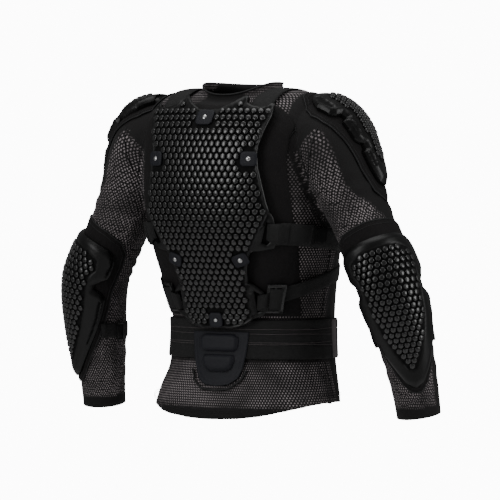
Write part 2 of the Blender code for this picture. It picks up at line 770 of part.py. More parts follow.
def away_from(points, holes, ring, gap):
    """Those of the points that keep clear of the holes and of the bevel points."""
    if not points:
        return []
    keep = np.ones(len(points), dtype=bool)
    for hole in holes:
        keep &= ~inside(points, hole)
        keep &= edge_distance(points, hole) > gap
    if ring:
        near = np.array(ring)
        for index, point in enumerate(points):
            keep[index] &= np.min(np.hypot(*(near - np.array(point)).T)) > gap * 0.9
    return [point for point, kept in zip(points, keep) if kept]


def outward(points, faces):
    """The same body with its faces turned outward if they face in."""
    volume = 0.0
    for face in faces:
        a = points[face[0]]
        for i in range(1, len(face) - 1):
            volume += a.dot(points[face[i]].cross(points[face[i + 1]]))
    if volume < 0:
        faces = [tuple(reversed(face)) for face in faces]
    return points, faces


def ribbon(stations, place, thickness, across=3):
    """Points and faces of a strap: each station gives the two plan ends and the lift."""
    points = []
    for end_a, end_b, lift in stations:
        for height in (lift, lift + thickness):
            for index in range(across):
                t = index / (across - 1)
                spot = [a + (b - a) * t for a, b in zip(end_a, end_b)]
                base, normal = place(*spot)
                points.append(base + normal * height)
    per = 2 * across
    plan = [[a + (b - a) * index / (across - 1) for a, b in zip(end_a, end_b)]
            for end_a, end_b, lift in stations for index in list(range(across)) * 2]
    for row in range(len(stations) - 1):
        floor = min(stations[row][2], stations[row + 1][2])
        corners = [(row * per + i, row * per + i + 1, (row + 1) * per + i + 1, (row + 1) * per + i)
                   for i in range(across - 1)]
        lifts = settle(points, plan, corners, place, floor)
        for index, lift in enumerate(lifts):
            if lift > 0:
                normal = place(*plan[index])[1]
                points[index] = points[index] + normal * lift
                points[index + across] = points[index + across] + normal * lift
    faces = []
    for row in range(len(stations) - 1):
        a = row * per
        b = a + per
        for i in range(across - 1):
            faces.append((a + i, a + i + 1, b + i + 1, b + i))
            faces.append((a + across + i, b + across + i, b + across + i + 1, a + across + i + 1))
        faces.append((a, b, b + across, a + across))
        last = across - 1
        faces.append((a + last, a + across + last, b + across + last, b + last))
    end = (len(stations) - 1) * per
    for i in range(across - 1):
        faces.append((i, across + i, across + i + 1, i + 1))
        faces.append((end + i, end + i + 1, end + across + i + 1, end + across + i))
    return outward(points, faces)


def flat(height):
    """The same height everywhere."""
    def heights(u, w, away):
        return height
    return heights


def domed(edge, top, bevel):
    """A height that rises from the edge over the bevel."""
    def heights(u, w, away):
        t = min(1.0, away / bevel)
        return edge + (top - edge) * math.sin(t * math.pi / 2)
    return heights


def tab_outline(tab, grow=0.0):
    """Outline of one tab, grown by a length in metres."""
    name, out, share, half_out, half_up, lean = tab
    turn = math.radians(lean)
    cut_in = 0.7
    corners = ((-1, -cut_in), (-cut_in, -1), (cut_in, -1), (1, -cut_in),
               (1, cut_in), (cut_in, 1), (-cut_in, 1), (-1, cut_in))
    result = []
    for x, y in corners:
        dx = x * (half_out * TAB_HALF_SIZE + grow)
        dy = y * (half_up * TAB_HALF_SIZE + grow)
        result.append((out + (dx * math.cos(turn) - dy * math.sin(turn)) / HALF_WIDTH,
                       share + (dx * math.sin(turn) + dy * math.cos(turn)) / JACKET_HEIGHT))
    return result


def plate_height(x, z, away):
    """Top of the back plate without its studs."""
    share = z / JACKET_HEIGHT
    rows = np.array(FIELD_EDGE)
    edge = float(np.interp(share, rows[:, 0], rows[:, 1])) * HALF_WIDTH
    top = WING_TOP if abs(x) > edge + PLATE_BEVEL else PLATE_RIM
    return top if away > PLATE_BEVEL / 2 else top - PLATE_BEVEL


def plate_studs(loops, ring):
    """Plan points of the hex studs, with how far each one stands above the rim."""
    pitch = STUD_PITCH
    centres = lattice(loops[0], pitch, STUD_MARGIN)
    rows = np.array(FIELD_EDGE)
    tabs = []
    for tab in TABS:
        outline = [(x * HALF_WIDTH, share * JACKET_HEIGHT) for x, share in tab_outline(tab, STUD_TAB_GAP)]
        tabs.append(outline)
        tabs.append([(-x, z) for x, z in outline])
    edge = HALF_WIDTH * np.interp([w / JACKET_HEIGHT for u, w in centres], rows[:, 0], rows[:, 1])
    keep = np.abs(np.array(centres)[:, 0]) < edge - STUD_MARGIN
    for outline in tabs:
        keep &= ~inside(centres, outline)
    centres = [point for point, kept in zip(centres, keep) if kept]
    reach = pitch / math.sqrt(3)
    corners = {}
    for x, z in centres:
        for index in range(6):
            turn = math.radians(30 + 60 * index)
            spot = (x + reach * math.cos(turn), z + reach * math.sin(turn))
            corners[(round(spot[0], 4), round(spot[1], 4))] = spot
    valleys = list(corners.values())
    clear = np.min([edge_distance(valleys, loop) for loop in loops], axis=0) > PLATE_BEVEL
    clear &= inside(valleys, loops[0])
    valleys = [point for point, kept in zip(valleys, clear) if kept]
    used = centres + valleys
    free = away_from(lattice(loops[0], pitch * 1.17, pitch * 0.5), loops[1:], used, pitch * 0.83)
    raised = [(np.array(centres), PLATE_FIELD - PLATE_RIM + STUD_HEIGHT),
              (np.array(valleys), PLATE_FIELD - PLATE_RIM)]
    return used + free, raised


def make_back(tree):
    """Back panel, hard plate, tabs and rivets."""
    place = from_behind(tree, 1.0)
    scale = (HALF_WIDTH, JACKET_HEIGHT)
    panel = pad(whole_outline(PANEL_EDGE), place, flat(PANEL_SEAT), flat(PANEL_TOP),
                FACETS["panel"], scale, low=1.0)
    add_object("back_panel", *panel, "smooth_cloth")
    mirror_slots = [[(-x, h) for x, h in slot] for slot in (WING_SLOT, LUG_SLOT)]
    plate = pad(whole_outline(PLATE_EDGE), place, flat(PLATE_UNDER), plate_height, FACETS["plate"],
                scale, studs=plate_studs, holes=(WING_SLOT, LUG_SLOT, *mirror_slots), low=1.7)
    add_object("back_plate", *plate, "plastic")
    for tab in TABS:
        name, out, share, half_out, half_up, lean = tab
        low = PLATE_RIM + GAP * 2
        body = pad(tab_outline(tab), place, flat(low), flat(low + TAB_THICK), FACETS["tab"], scale)
        rivet_base = low + TAB_THICK + GAP * 2
        rivet = [(out + RIVET_RADIUS * math.cos(math.radians(a)) / HALF_WIDTH,
                  share + RIVET_RADIUS * math.sin(math.radians(a)) / JACKET_HEIGHT)
                 for a in range(0, 360, 45)]
        head = pad(rivet, place, flat(rivet_base),
                   domed(rivet_base + RIVET_EDGE, rivet_base + RIVET_TOP, RIVET_BEVEL), FACETS["rivet"],
                   scale, bevel=RIVET_TOP)
        if out == 0.0:
            add_object("tab_" + name, *body, "navy")
            add_object("rivet_" + name, *head, "metal")
        else:
            add_mirrored("tab_" + name, *body, "navy")
            add_mirrored("rivet_" + name, *head, "metal")


def belt_lift(angle):
    """The belt rises over the zip at the middle of the front."""
    away = abs((angle + 90.0 + 180.0) % 360.0 - 180.0)
    return BELT_SEAT + ZIP_RISE * max(0.0, min(1.0, (16.0 - away) / 8.0))


def make_belt(tree):
    """Elastic belt all round the waist."""
    place = round_body(tree)
    points = []
    count = 36
    for index in range(count):
        angle = 360.0 * index / count
        for lift in (belt_lift(angle), belt_lift(angle) + BELT_THICK):
            for share in (BELT_LOW, (BELT_LOW + BELT_HIGH) / 2, BELT_HIGH):
                base, normal = place(angle, share)
                points.append(base + normal * lift)
    faces = []
    for index in range(count):
        a = index * 6
        b = ((index + 1) % count) * 6
        for i in range(2):
            faces.append((a + i, a + i + 1, b + i + 1, b + i))
            faces.append((a + 3 + i, b + 3 + i, b + 4 + i, a + 4 + i))
        faces.append((a, b, b + 3, a + 3))
        faces.append((a + 2, a + 5, b + 5, b + 2))
    add_object("kidney_belt", *outward(points, faces), "webbing")


def make_lumbar(tree):
    """Navy panel with two raised pads, over the belt and below it."""
    place = from_behind(tree, 1.0)
    scale = (HALF_WIDTH, JACKET_HEIGHT)
    over_belt = BELT_SEAT + BELT_THICK + LUMBAR_SEAT

    step = BELT_LOW - BELT_STEP

    def under(x, z, away):
        share = z / JACKET_HEIGHT
        return over_belt if share > step else max(SEAT, over_belt - (step - share) * BELT_SLOPE)

    def over(x, z, away):
        return under(x, z, away) + LUMBAR_THICK

    panel = pad(whole_outline(LUMBAR_EDGE), place, under, over, FACETS["lumbar"], scale)
    add_object("lumbar_panel", *panel, "navy")
    for name, edge in (("lumbar_pad_upper", UPPER_PAD_EDGE), ("lumbar_pad_lower", LOWER_PAD_EDGE)):
        def pad_under(x, z, away):
            return over(x, z, away) + PAD_SEAT

        def pad_over(x, z, away):
            swell = PAD_SWELL * math.sin(min(1.0, away / PAD_DOME) * math.pi / 2)
            return over(x, z, away) + PAD_EDGE_TOP + swell
        body = pad(whole_outline(edge), place, pad_under, pad_over, FACETS["pad"], scale, bevel=0.004)
        add_object(name, *body, "navy")


def make_straps(tree):
    """Shoulder straps, side straps and their buckles."""
    top = over_shoulder(tree)
    width = SHOULDER_STRAP_WIDTH / HALF_WIDTH
    rows = [((x, a), (x + width, a), lift * BAR_LIFT) for x, a, lift in SHOULDER_STRAP]
    add_mirrored("shoulder_strap", *ribbon(rows, top, STRAP_THICK), "webbing")
    side = round_body(tree)
    for name, table in (("upper_side_strap", UPPER_SIDE_STRAP), ("lower_side_strap", LOWER_SIDE_STRAP)):
        rows = [((a, high), (a, low), lift * BAR_LIFT) for a, high, low, lift in table]
        add_mirrored(name, *ribbon(rows, side, STRAP_THICK), "webbing")
    buckle = [((a, high), (a, low), BUCKLE_LIFT) for a, high, low in SIDE_BUCKLE]
    add_mirrored("side_buckle", *ribbon(buckle, side, BUCKLE_THICK), "plastic")


def make_shoulders(tree):
    """Cloth base and hard cap on each shoulder."""
    place = round_shoulder(tree)
    scale = (math.radians(CAP_RADIUS), math.radians(CAP_RADIUS))

    def outline(edge):
        half = [(back, down) for down, back in edge]
        return [(down, back) for back, down in whole_outline(half)]
    base = pad(outline(CAP_BASE_EDGE), place, flat(ARM_SEAT), flat(ARM_BASE_TOP), FACETS["base"],
               scale, low=1.0)
    add_mirrored("shoulder_base", *base, "smooth_cloth")
    cap = pad(outline(CAP_EDGE), place, flat(CAP_UNDER), domed(CAP_EDGE_TOP, CAP_TOP, GUARD_DOME),
              FACETS["cap"], scale, bevel=GUARD_DOME / 2, low=1.0)
    add_mirrored("shoulder_cap", *cap, "plastic")


def make_elbows():
    """Cloth base, hard guard, strap and buckle on each arm."""
    place = round_arm()
    scale = (math.radians(ARM_RADIUS), JACKET_HEIGHT * LENGTH_SQUEEZE)
    base = pad(whole_outline(GUARD_BASE_EDGE), place, flat(ARM_SEAT), flat(ARM_BASE_TOP),
               FACETS["arm_base"], scale, low=1.0)
    add_mirrored("elbow_base", *base, "smooth_cloth")
    guard = pad(whole_outline(GUARD_EDGE), place, flat(GUARD_UNDER),
                domed(GUARD_EDGE_TOP, GUARD_TOP, GUARD_DOME), FACETS["guard"], scale,
                bevel=0.005, low=1.0)
    add_mirrored("elbow_guard", *guard, "plastic")
    rows = [((a, high), (a, low), BASE_STRAP_LIFT if on_base else STRAP_SEAT)
            for a, high, low, on_base in FOREARM_STRAP]
    add_mirrored("forearm_strap", *ribbon(rows, place, STRAP_THICK), "webbing")
    rows = [((a, high), (a, low), ARM_BUCKLE_LIFT) for a, high, low in FOREARM_BUCKLE]
    add_mirrored("forearm_buckle", *ribbon(rows, place, BUCKLE_THICK), "plastic")


def make_front(tree):
    """Plain chest plates and zip on the hidden front."""
    place = from_behind(tree, -1.0)
    scale = (HALF_WIDTH, JACKET_HEIGHT)
    chest = pad(CHEST_EDGE, place, flat(CHEST_UNDER), domed(CHEST_EDGE_TOP, CHEST_TOP, CHEST_DOME),
                FACETS["chest"], scale, bevel=CHEST_DOME / 2)
    add_mirrored("chest_plate", *chest, "plastic")
    half = ZIP_WIDTH / 2 / HALF_WIDTH
    rows = [((-half, share), (half, share), SEAT * 2) for share in ZIP_HEIGHTS]
    add_object("front_zip", *ribbon(rows, place, ZIP_THICK, across=2), "plastic")


def make_collar():
    """Short band standing on the neck edge."""
    side, back, front, wide, deep = YOKE_ROWS[-1]
    heights = (0.0, 0.5, 1.0)
    rings = {}
    for inset in (0.0, CLOTH):
        rings[inset] = []
        for share in heights:
            ring = []
            for x, y, turn in power_ring(wide * HALF_WIDTH - inset - COLLAR_LEAN * share,
                                         deep * HALF_DEPTH - inset - COLLAR_LEAN * share, 0.0,
                                         BODY_SEGMENTS):
                end = back if turn > 0 else front
                z = level(side + (end - side) * turn * turn) + GAP + COLLAR_BAND * share
                ring.append(Vector((x, y, z)))
            rings[inset].append(ring)
    add_object("collar", *shell(rings[0.0], rings[CLOTH], True), "cloth")


def main():
    """Build every piece."""
    clear_scene()
    body_tree = outside_tree(False)
    full_tree = outside_tree(True)
    make_torso()
    make_sleeves()
    make_collar()
    make_back(body_tree)
    make_belt(body_tree)
    make_lumbar(body_tree)
    make_straps(body_tree)
    make_shoulders(full_tree)
    make_elbows()
    make_front(body_tree)


main()
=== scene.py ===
"""Dressed model of the protective jacket: cloth, studs, webbing, stitches, light and camera."""
import json
import math

import bpy
import numpy as np
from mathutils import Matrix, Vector
from mathutils.bvhtree import BVHTree
from mathutils.geometry import delaunay_2d_cdt

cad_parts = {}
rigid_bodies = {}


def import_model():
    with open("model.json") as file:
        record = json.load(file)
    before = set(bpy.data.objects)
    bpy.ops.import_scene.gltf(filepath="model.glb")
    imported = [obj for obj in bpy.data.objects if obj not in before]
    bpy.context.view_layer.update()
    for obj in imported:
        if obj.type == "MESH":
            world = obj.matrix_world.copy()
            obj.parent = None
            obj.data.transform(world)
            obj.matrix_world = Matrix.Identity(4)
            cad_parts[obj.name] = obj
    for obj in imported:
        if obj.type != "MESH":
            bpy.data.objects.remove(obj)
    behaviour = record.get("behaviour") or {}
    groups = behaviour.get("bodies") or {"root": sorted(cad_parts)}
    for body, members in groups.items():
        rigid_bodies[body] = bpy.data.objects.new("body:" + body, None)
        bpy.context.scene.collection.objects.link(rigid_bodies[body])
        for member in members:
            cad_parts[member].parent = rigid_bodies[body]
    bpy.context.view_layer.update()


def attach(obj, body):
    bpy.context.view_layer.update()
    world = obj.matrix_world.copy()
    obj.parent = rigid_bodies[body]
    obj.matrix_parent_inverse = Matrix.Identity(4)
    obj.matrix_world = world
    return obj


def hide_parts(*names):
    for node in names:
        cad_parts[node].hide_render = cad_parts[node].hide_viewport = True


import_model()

# Main sizes in metres
JACKET_HEIGHT = 0.590
HALF_WIDTH = 0.195
HALF_DEPTH = 0.131
BODY_POWER = 2.3
CLOTH = 0.002
GAP = 0.0003
ARMHOLE_GAP = 0.0006
PANEL_SEAT = 0.0012
SEAT = 0.0008
ARM_SEAT = 0.0008
ARM_BASE_TOP = 0.0034
GUARD_UNDER = 0.0038
GUARD_EDGE_TOP = 0.0090
GUARD_TOP = 0.0135
GUARD_DOME = 0.012
CAP_UNDER = 0.0070
CAP_EDGE_TOP = 0.0105
CAP_TOP = 0.0170
CHEST_UNDER = 0.0038
CHEST_EDGE_TOP = 0.0070
CHEST_TOP = 0.0110
CHEST_DOME = 0.010
STRAP_SEAT = 0.0004
ARM_RADIUS = 0.052
HEM_LIFT = 0.048
COLLAR_BAND = 0.012
COLLAR_LEAN = 0.0015
PANEL_TOP = 0.0036
PLATE_UNDER = 0.0085
PLATE_RIM = 0.0170
PLATE_FIELD = 0.0150
WING_TOP = 0.0125
STUD_HEIGHT = 0.0045
STUD_PITCH = 0.012
STUD_MARGIN = 0.0055
STUD_TAB_GAP = 0.004
PLATE_BEVEL = 0.0012
TAB_HALF_SIZE = 0.0135
TAB_THICK = 0.0022
RIVET_RADIUS = 0.0038
RIVET_EDGE = 0.0006
RIVET_TOP = 0.0016
RIVET_BEVEL = 0.0025
BELT_THICK = 0.0028
BELT_SEAT = 0.0024
BELT_LOW = 0.180
BELT_HIGH = 0.300
BELT_STEP = 0.008
BELT_SLOPE = 0.12
ZIP_THICK = 0.0022
ZIP_WIDTH = 0.010
ZIP_RISE = 0.0030
LUMBAR_SEAT = 0.0006
LUMBAR_THICK = 0.0022
PAD_SEAT = 0.0009
PAD_EDGE_TOP = 0.0024
PAD_SWELL = 0.0050
PAD_DOME = 0.009
STRAP_THICK = 0.0020
SHOULDER_STRAP_WIDTH = 0.040
BUCKLE_THICK = 0.003
BUCKLE_LIFT = 0.0086
ARM_BUCKLE_LIFT = 0.0042
BASE_STRAP_LIFT = 0.0046
BAR_CLEARANCE = 0.0020
BAR_LIFT = WING_TOP + BAR_CLEARANCE
CAP_RADIUS = 0.112
GUARD_MIDDLE = 55.0
BODY_SEGMENTS = 24
SLEEVE_SEGMENTS = 12
LENGTH_SQUEEZE = 0.55
SLIVER_AREA = 1e-9
SIDE_BOW = 0.0012
FAR_OUT = 4.0
ROUND_MIDDLE = -0.153
TOP_MIDDLE = 0.80
FACETS = {"panel": 0.024, "plate": 0.016, "tab": 0.013, "rivet": 0.008, "lumbar": 0.017,
          "pad": 0.010, "base": 0.026, "cap": 0.022, "arm_base": 0.019, "guard": 0.018,
          "chest": 0.026}
SAME_POINT = 0.0003

# Body sections below the shoulders: height, half width, half depth, middle towards the back
BODY_ROWS = (
    (0.000, 0.900, 0.940, -0.105),
    (0.075, 0.866, 0.890, -0.165),
    (0.150, 0.820, 0.825, -0.245),
    (0.230, 0.796, 0.800, -0.265),
    (0.305, 0.798, 0.800, -0.262),
    (0.400, 0.838, 0.850, -0.200),
    (0.500, 0.900, 0.926, -0.118),
    (0.600, 0.956, 0.983, -0.045),
    (0.690, 0.990, 1.000, -0.014),
    (0.775, 1.000, 0.975, 0.000),
    (0.850, 0.995, 0.915, 0.000),
)

# Shoulder sections: side height, back height, front height, half width, half depth
YOKE_ROWS = (
    (0.905, 0.892, 0.896, 0.960, 0.840),
    (0.951, 0.926, 0.934, 0.872, 0.735),
    (0.984, 0.944, 0.962, 0.728, 0.640),
    (0.995, 0.952, 0.978, 0.540, 0.560),
    (0.996, 0.959, 0.990, 0.370, 0.480),
)

# Left sleeve: out past the body's side, back, height of the middle in shares of JACKET_HEIGHT,
# tilt in degrees, then the radius across and the radius front to back in shares of ARM_RADIUS
SLEEVE_ROWS = (
    (-0.0935, 0.000, 0.849, 90.0, 1.12, 1.27),
    (-0.0385, 0.010, 0.848, 72.0, 1.25, 1.38),
    (0.0010, 0.018, 0.819, 53.0, 1.27, 1.42),
    (0.0290, 0.020, 0.770, 37.0, 1.21, 1.38),
    (0.0560, 0.018, 0.705, 28.0, 1.12, 1.26),
    (0.0955, 0.014, 0.622, 26.0, 1.05, 1.14),
    (0.1380, 0.012, 0.532, 24.0, 1.00, 1.08),
    (0.1730, 0.012, 0.464, 19.0, 1.01, 1.08),
    (0.1950, 0.010, 0.412, 12.0, 1.03, 1.08),
    (0.2100, -0.003, 0.345, 7.0, 1.01, 1.04),
    (0.2215, -0.026, 0.262, 6.0, 0.95, 0.98),
    (0.2320, -0.051, 0.177, 6.0, 0.87, 0.90),
    (0.2400, -0.071, 0.091, 6.0, 0.79, 0.83),
    (0.2440, -0.085, 0.018, 6.0, 0.75, 0.78),
)

# Back plate edge from the neck notch to the tail: half width, height
PLATE_EDGE = (
    (0.000, 0.918), (0.103, 0.920), (0.215, 0.936), (0.313, 0.955), (0.349, 0.952),
    (0.364, 0.937), (0.426, 0.930), (0.497, 0.926), (0.559, 0.927), (0.585, 0.937),
    (0.615, 0.934), (0.621, 0.902), (0.585, 0.863), (0.549, 0.821), (0.544, 0.799),
    (0.559, 0.757), (0.590, 0.708), (0.615, 0.659), (0.631, 0.631), (0.656, 0.612),
    (0.662, 0.547), (0.621, 0.523), (0.533, 0.516), (0.436, 0.512), (0.400, 0.496),
    (0.369, 0.455), (0.354, 0.418), (0.400, 0.411), (0.467, 0.389), (0.472, 0.330),
    (0.421, 0.313), (0.354, 0.308), (0.318, 0.295), (0.236, 0.281), (0.144, 0.274),
    (0.103, 0.275), (0.000, 0.276),
)

# Edge of the studded field where wings and lugs carry on beyond it: height, half width
FIELD_EDGE = (
    (0.272, 0.256), (0.308, 0.349), (0.418, 0.354), (0.496, 0.400), (0.551, 0.492),
    (0.620, 0.615), (0.639, 0.631), (1.000, 0.641),
)

# Slots in wing and lug: distance out, height
WING_SLOT = ((0.600, 0.603), (0.623, 0.598), (0.623, 0.547), (0.574, 0.532), (0.528, 0.538))
LUG_SLOT = ((0.387, 0.394), (0.433, 0.386), (0.433, 0.333), (0.387, 0.325))

# Tabs on the plate: name, distance out, height, half size out and up in shares of TAB_HALF_SIZE,
# lean in degrees
TABS = (
    ("top", 0.000, 0.896, 1.26, 0.81, 0.0),
    ("upper", 0.479, 0.783, 1.00, 0.89, 0.0),
    ("lower", 0.338, 0.491, 1.00, 0.74, 20.0),
    ("bottom", 0.000, 0.302, 0.96, 1.07, 0.0),
)

# Back panel edge from the neck to the belt: half width, height
PANEL_EDGE = (
    (0.000, 0.944), (0.231, 0.948), (0.410, 0.951), (0.605, 0.943), (0.749, 0.914),
    (0.810, 0.880), (0.779, 0.852), (0.769, 0.780), (0.795, 0.660), (0.790, 0.520),
    (0.733, 0.400), (0.703, 0.312), (0.000, 0.312),
)

# Lumbar panel and its pads: half width, height
LUMBAR_EDGE = (
    (0.000, 0.262), (0.256, 0.262), (0.241, 0.200), (0.215, 0.140), (0.185, 0.110),
    (0.113, 0.090), (0.000, 0.085),
)
UPPER_PAD_EDGE = (
    (0.000, 0.244), (0.123, 0.243), (0.164, 0.232), (0.159, 0.200), (0.128, 0.190), (0.000, 0.190),
)
LOWER_PAD_EDGE = (
    (0.000, 0.180), (0.128, 0.180), (0.138, 0.160), (0.113, 0.136), (0.072, 0.128), (0.000, 0.127),
)

# Middle that the shoulder cap curves round: out past the body's side in shares of JACKET_HEIGHT,
# height
CAP_MIDDLE = (-0.034, 0.788)

# Shoulder cap and its base: angle down the arm, angle front to back, both in degrees
CAP_EDGE = (
    (-8.0, 0.0), (-7.0, 13.0), (0.0, 23.0), (11.0, 32.0), (29.0, 33.0), (35.0, 29.0),
    (37.0, 23.0), (43.0, 22.0), (46.0, 28.0), (69.0, 25.0), (74.0, 21.0), (76.0, 16.0),
    (81.0, 15.0), (85.0, 18.0), (101.0, 12.0), (111.0, 6.0), (114.0, 0.0),
)
CAP_BASE_EDGE = (
    (-15.0, 0.0), (-14.0, 16.0), (-6.0, 30.0), (8.0, 40.0), (30.0, 42.0), (55.0, 38.0),
    (80.0, 30.0), (102.0, 21.0), (116.0, 11.0), (121.0, 0.0),
)

# Elbow guard and its base: angle round the sleeve in degrees, height
GUARD_EDGE = (
    (0.0, 0.530), (40.0, 0.528), (66.0, 0.521), (79.0, 0.506), (84.0, 0.482), (84.0, 0.450),
    (82.0, 0.432), (72.0, 0.420), (62.0, 0.405), (62.0, 0.390), (76.0, 0.378), (82.0, 0.360),
    (78.0, 0.320), (68.0, 0.270), (52.0, 0.215), (34.0, 0.160), (18.0, 0.120), (0.0, 0.104),
)
GUARD_BASE_EDGE = (
    (0.0, 0.576), (50.0, 0.570), (84.0, 0.552), (101.0, 0.520), (105.0, 0.475), (103.0, 0.425),
    (97.0, 0.380), (92.0, 0.335), (84.0, 0.290), (66.0, 0.225), (46.0, 0.165), (28.0, 0.115),
    (12.0, 0.090), (0.0, 0.086),
)

# Left chest plate: distance out, height
CHEST_EDGE = (
    (0.072, 0.880), (0.308, 0.900), (0.574, 0.880), (0.656, 0.800), (0.677, 0.640),
    (0.615, 0.520), (0.462, 0.470), (0.072, 0.455),
)

# Shoulder strap: inner edge's distance out, angle from the back over the top in degrees, lift
SHOULDER_STRAP = (
    (0.369, 33.0, 0.366), (0.374, 42.0, 0.366), (0.379, 50.0, 0.386), (0.384, 59.0, 0.359),
    (0.389, 70.0, 0.234), (0.389, 84.0, 0.110), (0.384, 100.0, 0.048), (0.379, 116.0, 0.048),
    (0.369, 132.0, 0.048), (0.359, 146.0, 0.048), (0.348, 160.0, 0.048),
)

# Side straps: angle round the body from the left side towards the back, upper edge, lower edge,
# lift
UPPER_SIDE_STRAP = (
    (45.6, 0.597, 0.549, 0.655), (44.0, 0.598, 0.547, 0.966), (42.0, 0.598, 0.540, 1.000),
    (39.5, 0.598, 0.535, 0.966), (37.5, 0.597, 0.532, 0.517), (34.0, 0.596, 0.530, 0.386),
    (26.0, 0.592, 0.527, 0.386), (18.0, 0.585, 0.522, 0.345), (9.0, 0.577, 0.517, 0.055),
    (-4.0, 0.568, 0.510, 0.055), (-20.0, 0.558, 0.502, 0.055), (-36.0, 0.548, 0.494, 0.055),
    (-52.0, 0.538, 0.486, 0.055),
)
LOWER_SIDE_STRAP = (
    (48.5, 0.380, 0.334, 0.655), (46.8, 0.382, 0.334, 0.966), (44.3, 0.385, 0.335, 1.000),
    (41.7, 0.388, 0.338, 0.966), (39.8, 0.391, 0.342, 0.517), (37.0, 0.396, 0.348, 0.386),
    (28.0, 0.408, 0.362, 0.386), (18.0, 0.422, 0.376, 0.345), (9.0, 0.434, 0.388, 0.055),
    (-4.0, 0.450, 0.404, 0.055), (-18.0, 0.463, 0.417, 0.055), (-33.0, 0.474, 0.430, 0.055),
    (-48.0, 0.484, 0.442, 0.055),
)

# Side buckle: angle round the body, upper edge, lower edge
SIDE_BUCKLE = ((37.0, 0.400, 0.340), (34.0, 0.400, 0.340), (31.0, 0.400, 0.340))

# Forearm strap: angle round the sleeve, upper edge, lower edge, whether it lies on the base
FOREARM_STRAP = (
    (74.0, 0.282, 0.236, 1), (82.0, 0.282, 0.236, 1), (90.0, 0.282, 0.236, 0),
    (112.0, 0.282, 0.236, 0), (135.0, 0.282, 0.236, 0), (158.0, 0.282, 0.236, 0),
    (180.0, 0.282, 0.236, 0), (202.0, 0.282, 0.236, 0), (225.0, 0.282, 0.236, 0),
    (248.0, 0.282, 0.236, 0), (270.0, 0.282, 0.236, 0), (278.0, 0.282, 0.236, 1),
    (286.0, 0.282, 0.236, 1),
)

# Forearm buckle: angle round the sleeve, upper edge, lower edge
FOREARM_BUCKLE = ((108.0, 0.288, 0.230), (116.0, 0.288, 0.230), (124.0, 0.288, 0.230))

# Heights of the zip's stations
ZIP_HEIGHTS = (0.040, 0.100, 0.160, 0.230, 0.300, 0.380, 0.460, 0.540, 0.620, 0.700, 0.780, 0.860,
               0.930, 0.966)


def level(share):
    """Height above the shoulder seat for a share of the jacket's height."""
    return (share - 1.0) * JACKET_HEIGHT


def smooth_rows(rows, per_gap):
    """More rows between those of a table, on a smooth curve through them."""
    table = np.array(rows, dtype=float)
    result = []
    last = len(table) - 1
    for index in range(last):
        before = table[max(index - 1, 0)]
        start = table[index]
        end = table[index + 1]
        after = table[min(index + 2, last)]
        for step in range(per_gap):
            t = step / per_gap
            rise = 2 * start + (end - before) * t
            bend = (2 * before - 5 * start + 4 * end - after) * t * t
            turn = (3 * start - before - 3 * end + after) * t * t * t
            result.append((rise + bend + turn) / 2)
    result.append(table[last])
    return result


def power_ring(half_width, half_depth, middle, segments):
    """Points of a rounded oval with squarer corners, in x and y."""
    ring = []
    for index in range(segments):
        angle = 2 * math.pi * index / segments
        across = math.cos(angle)
        back = math.sin(angle)
        x = half_width * math.copysign(abs(across) ** (2 / BODY_POWER), across)
        y = middle + half_depth * math.copysign(abs(back) ** (2 / BODY_POWER), back)
        ring.append((x, y, back))
    return ring


def body_rings(inset, segments, per_gap=1):
    """Rings of the torso from hem to neck, drawn in by the inset."""
    rows = [(h, h, h, w, d, m) for h, w, d, m in BODY_ROWS]
    rows += [(side, back, front, w, d, 0.0) for side, back, front, w, d in YOKE_ROWS]
    rings = []
    for index, row in enumerate(smooth_rows(rows, per_gap)):
        side, back, front, wide, deep, middle = row
        hem = HEM_LIFT * max(0.0, 1.0 - index / (2.0 * per_gap))
        ring = []
        plan = power_ring(wide * HALF_WIDTH - inset, deep * HALF_DEPTH - inset,
                          middle * HALF_DEPTH, segments)
        drop = inset * min(1.0, max(0.0, (side - 0.84) / 0.10)) * (1.0 if side < 1.0 else 0.0)
        for x, y, turn in plan:
            end = back if turn > 0 else front
            lift = hem * (1.0 - max(turn, 0.0) ** 2) if turn > 0 else hem * (1.0 - 0.2 * turn * turn)
            height = side + (end - side) * turn * turn + lift
            ring.append(Vector((x, y, level(height) - drop)))
        rings.append(ring)
    return rings


def arm_middle(out, back, height):
    """Middle of the left sleeve for one row of its table."""
    return Vector((HALF_WIDTH + out * JACKET_HEIGHT, back * JACKET_HEIGHT, level(height)))


def sleeve_rings(change, segments, per_gap=1):
    """Rings of the left sleeve from shoulder to cuff, grown or shrunk by the change."""
    rings = []
    for out, back, height, tilt, across, deep in smooth_rows(SLEEVE_ROWS, per_gap):
        middle = arm_middle(out, back, height)
        lean = math.radians(tilt)
        side = Vector((math.cos(lean), 0.0, math.sin(lean)))
        rings.append([middle + side * ((across * ARM_RADIUS + change) * math.cos(turn))
                      + Vector((0.0, 1.0, 0.0)) * ((deep * ARM_RADIUS + change) * math.sin(turn))
                      for turn in (2 * math.pi * index / segments for index in range(segments))])
    return rings


def skin_faces(ring_count, segments, first=0, inward=False):
    """Faces joining rings of points into a tube."""
    faces = []
    for row in range(ring_count - 1):
        for index in range(segments):
            nxt = (index + 1) % segments
            a = first + row * segments + index
            b = first + row * segments + nxt
            c = first + (row + 1) * segments + nxt
            d = first + (row + 1) * segments + index
            faces.append((d, c, b, a) if inward else (a, b, c, d))
    return faces


def plug(rings, upward):
    """Points and faces of the same tube as a filled body."""
    segments = len(rings[0])
    points = [point for ring in rings for point in ring]
    faces = skin_faces(len(rings), segments, 0, not upward)
    low = tuple(reversed(range(segments)))
    high = tuple(range((len(rings) - 1) * segments, len(rings) * segments))
    faces.append(low if upward else tuple(reversed(low)))
    faces.append(high if upward else tuple(reversed(high)))
    return points, faces


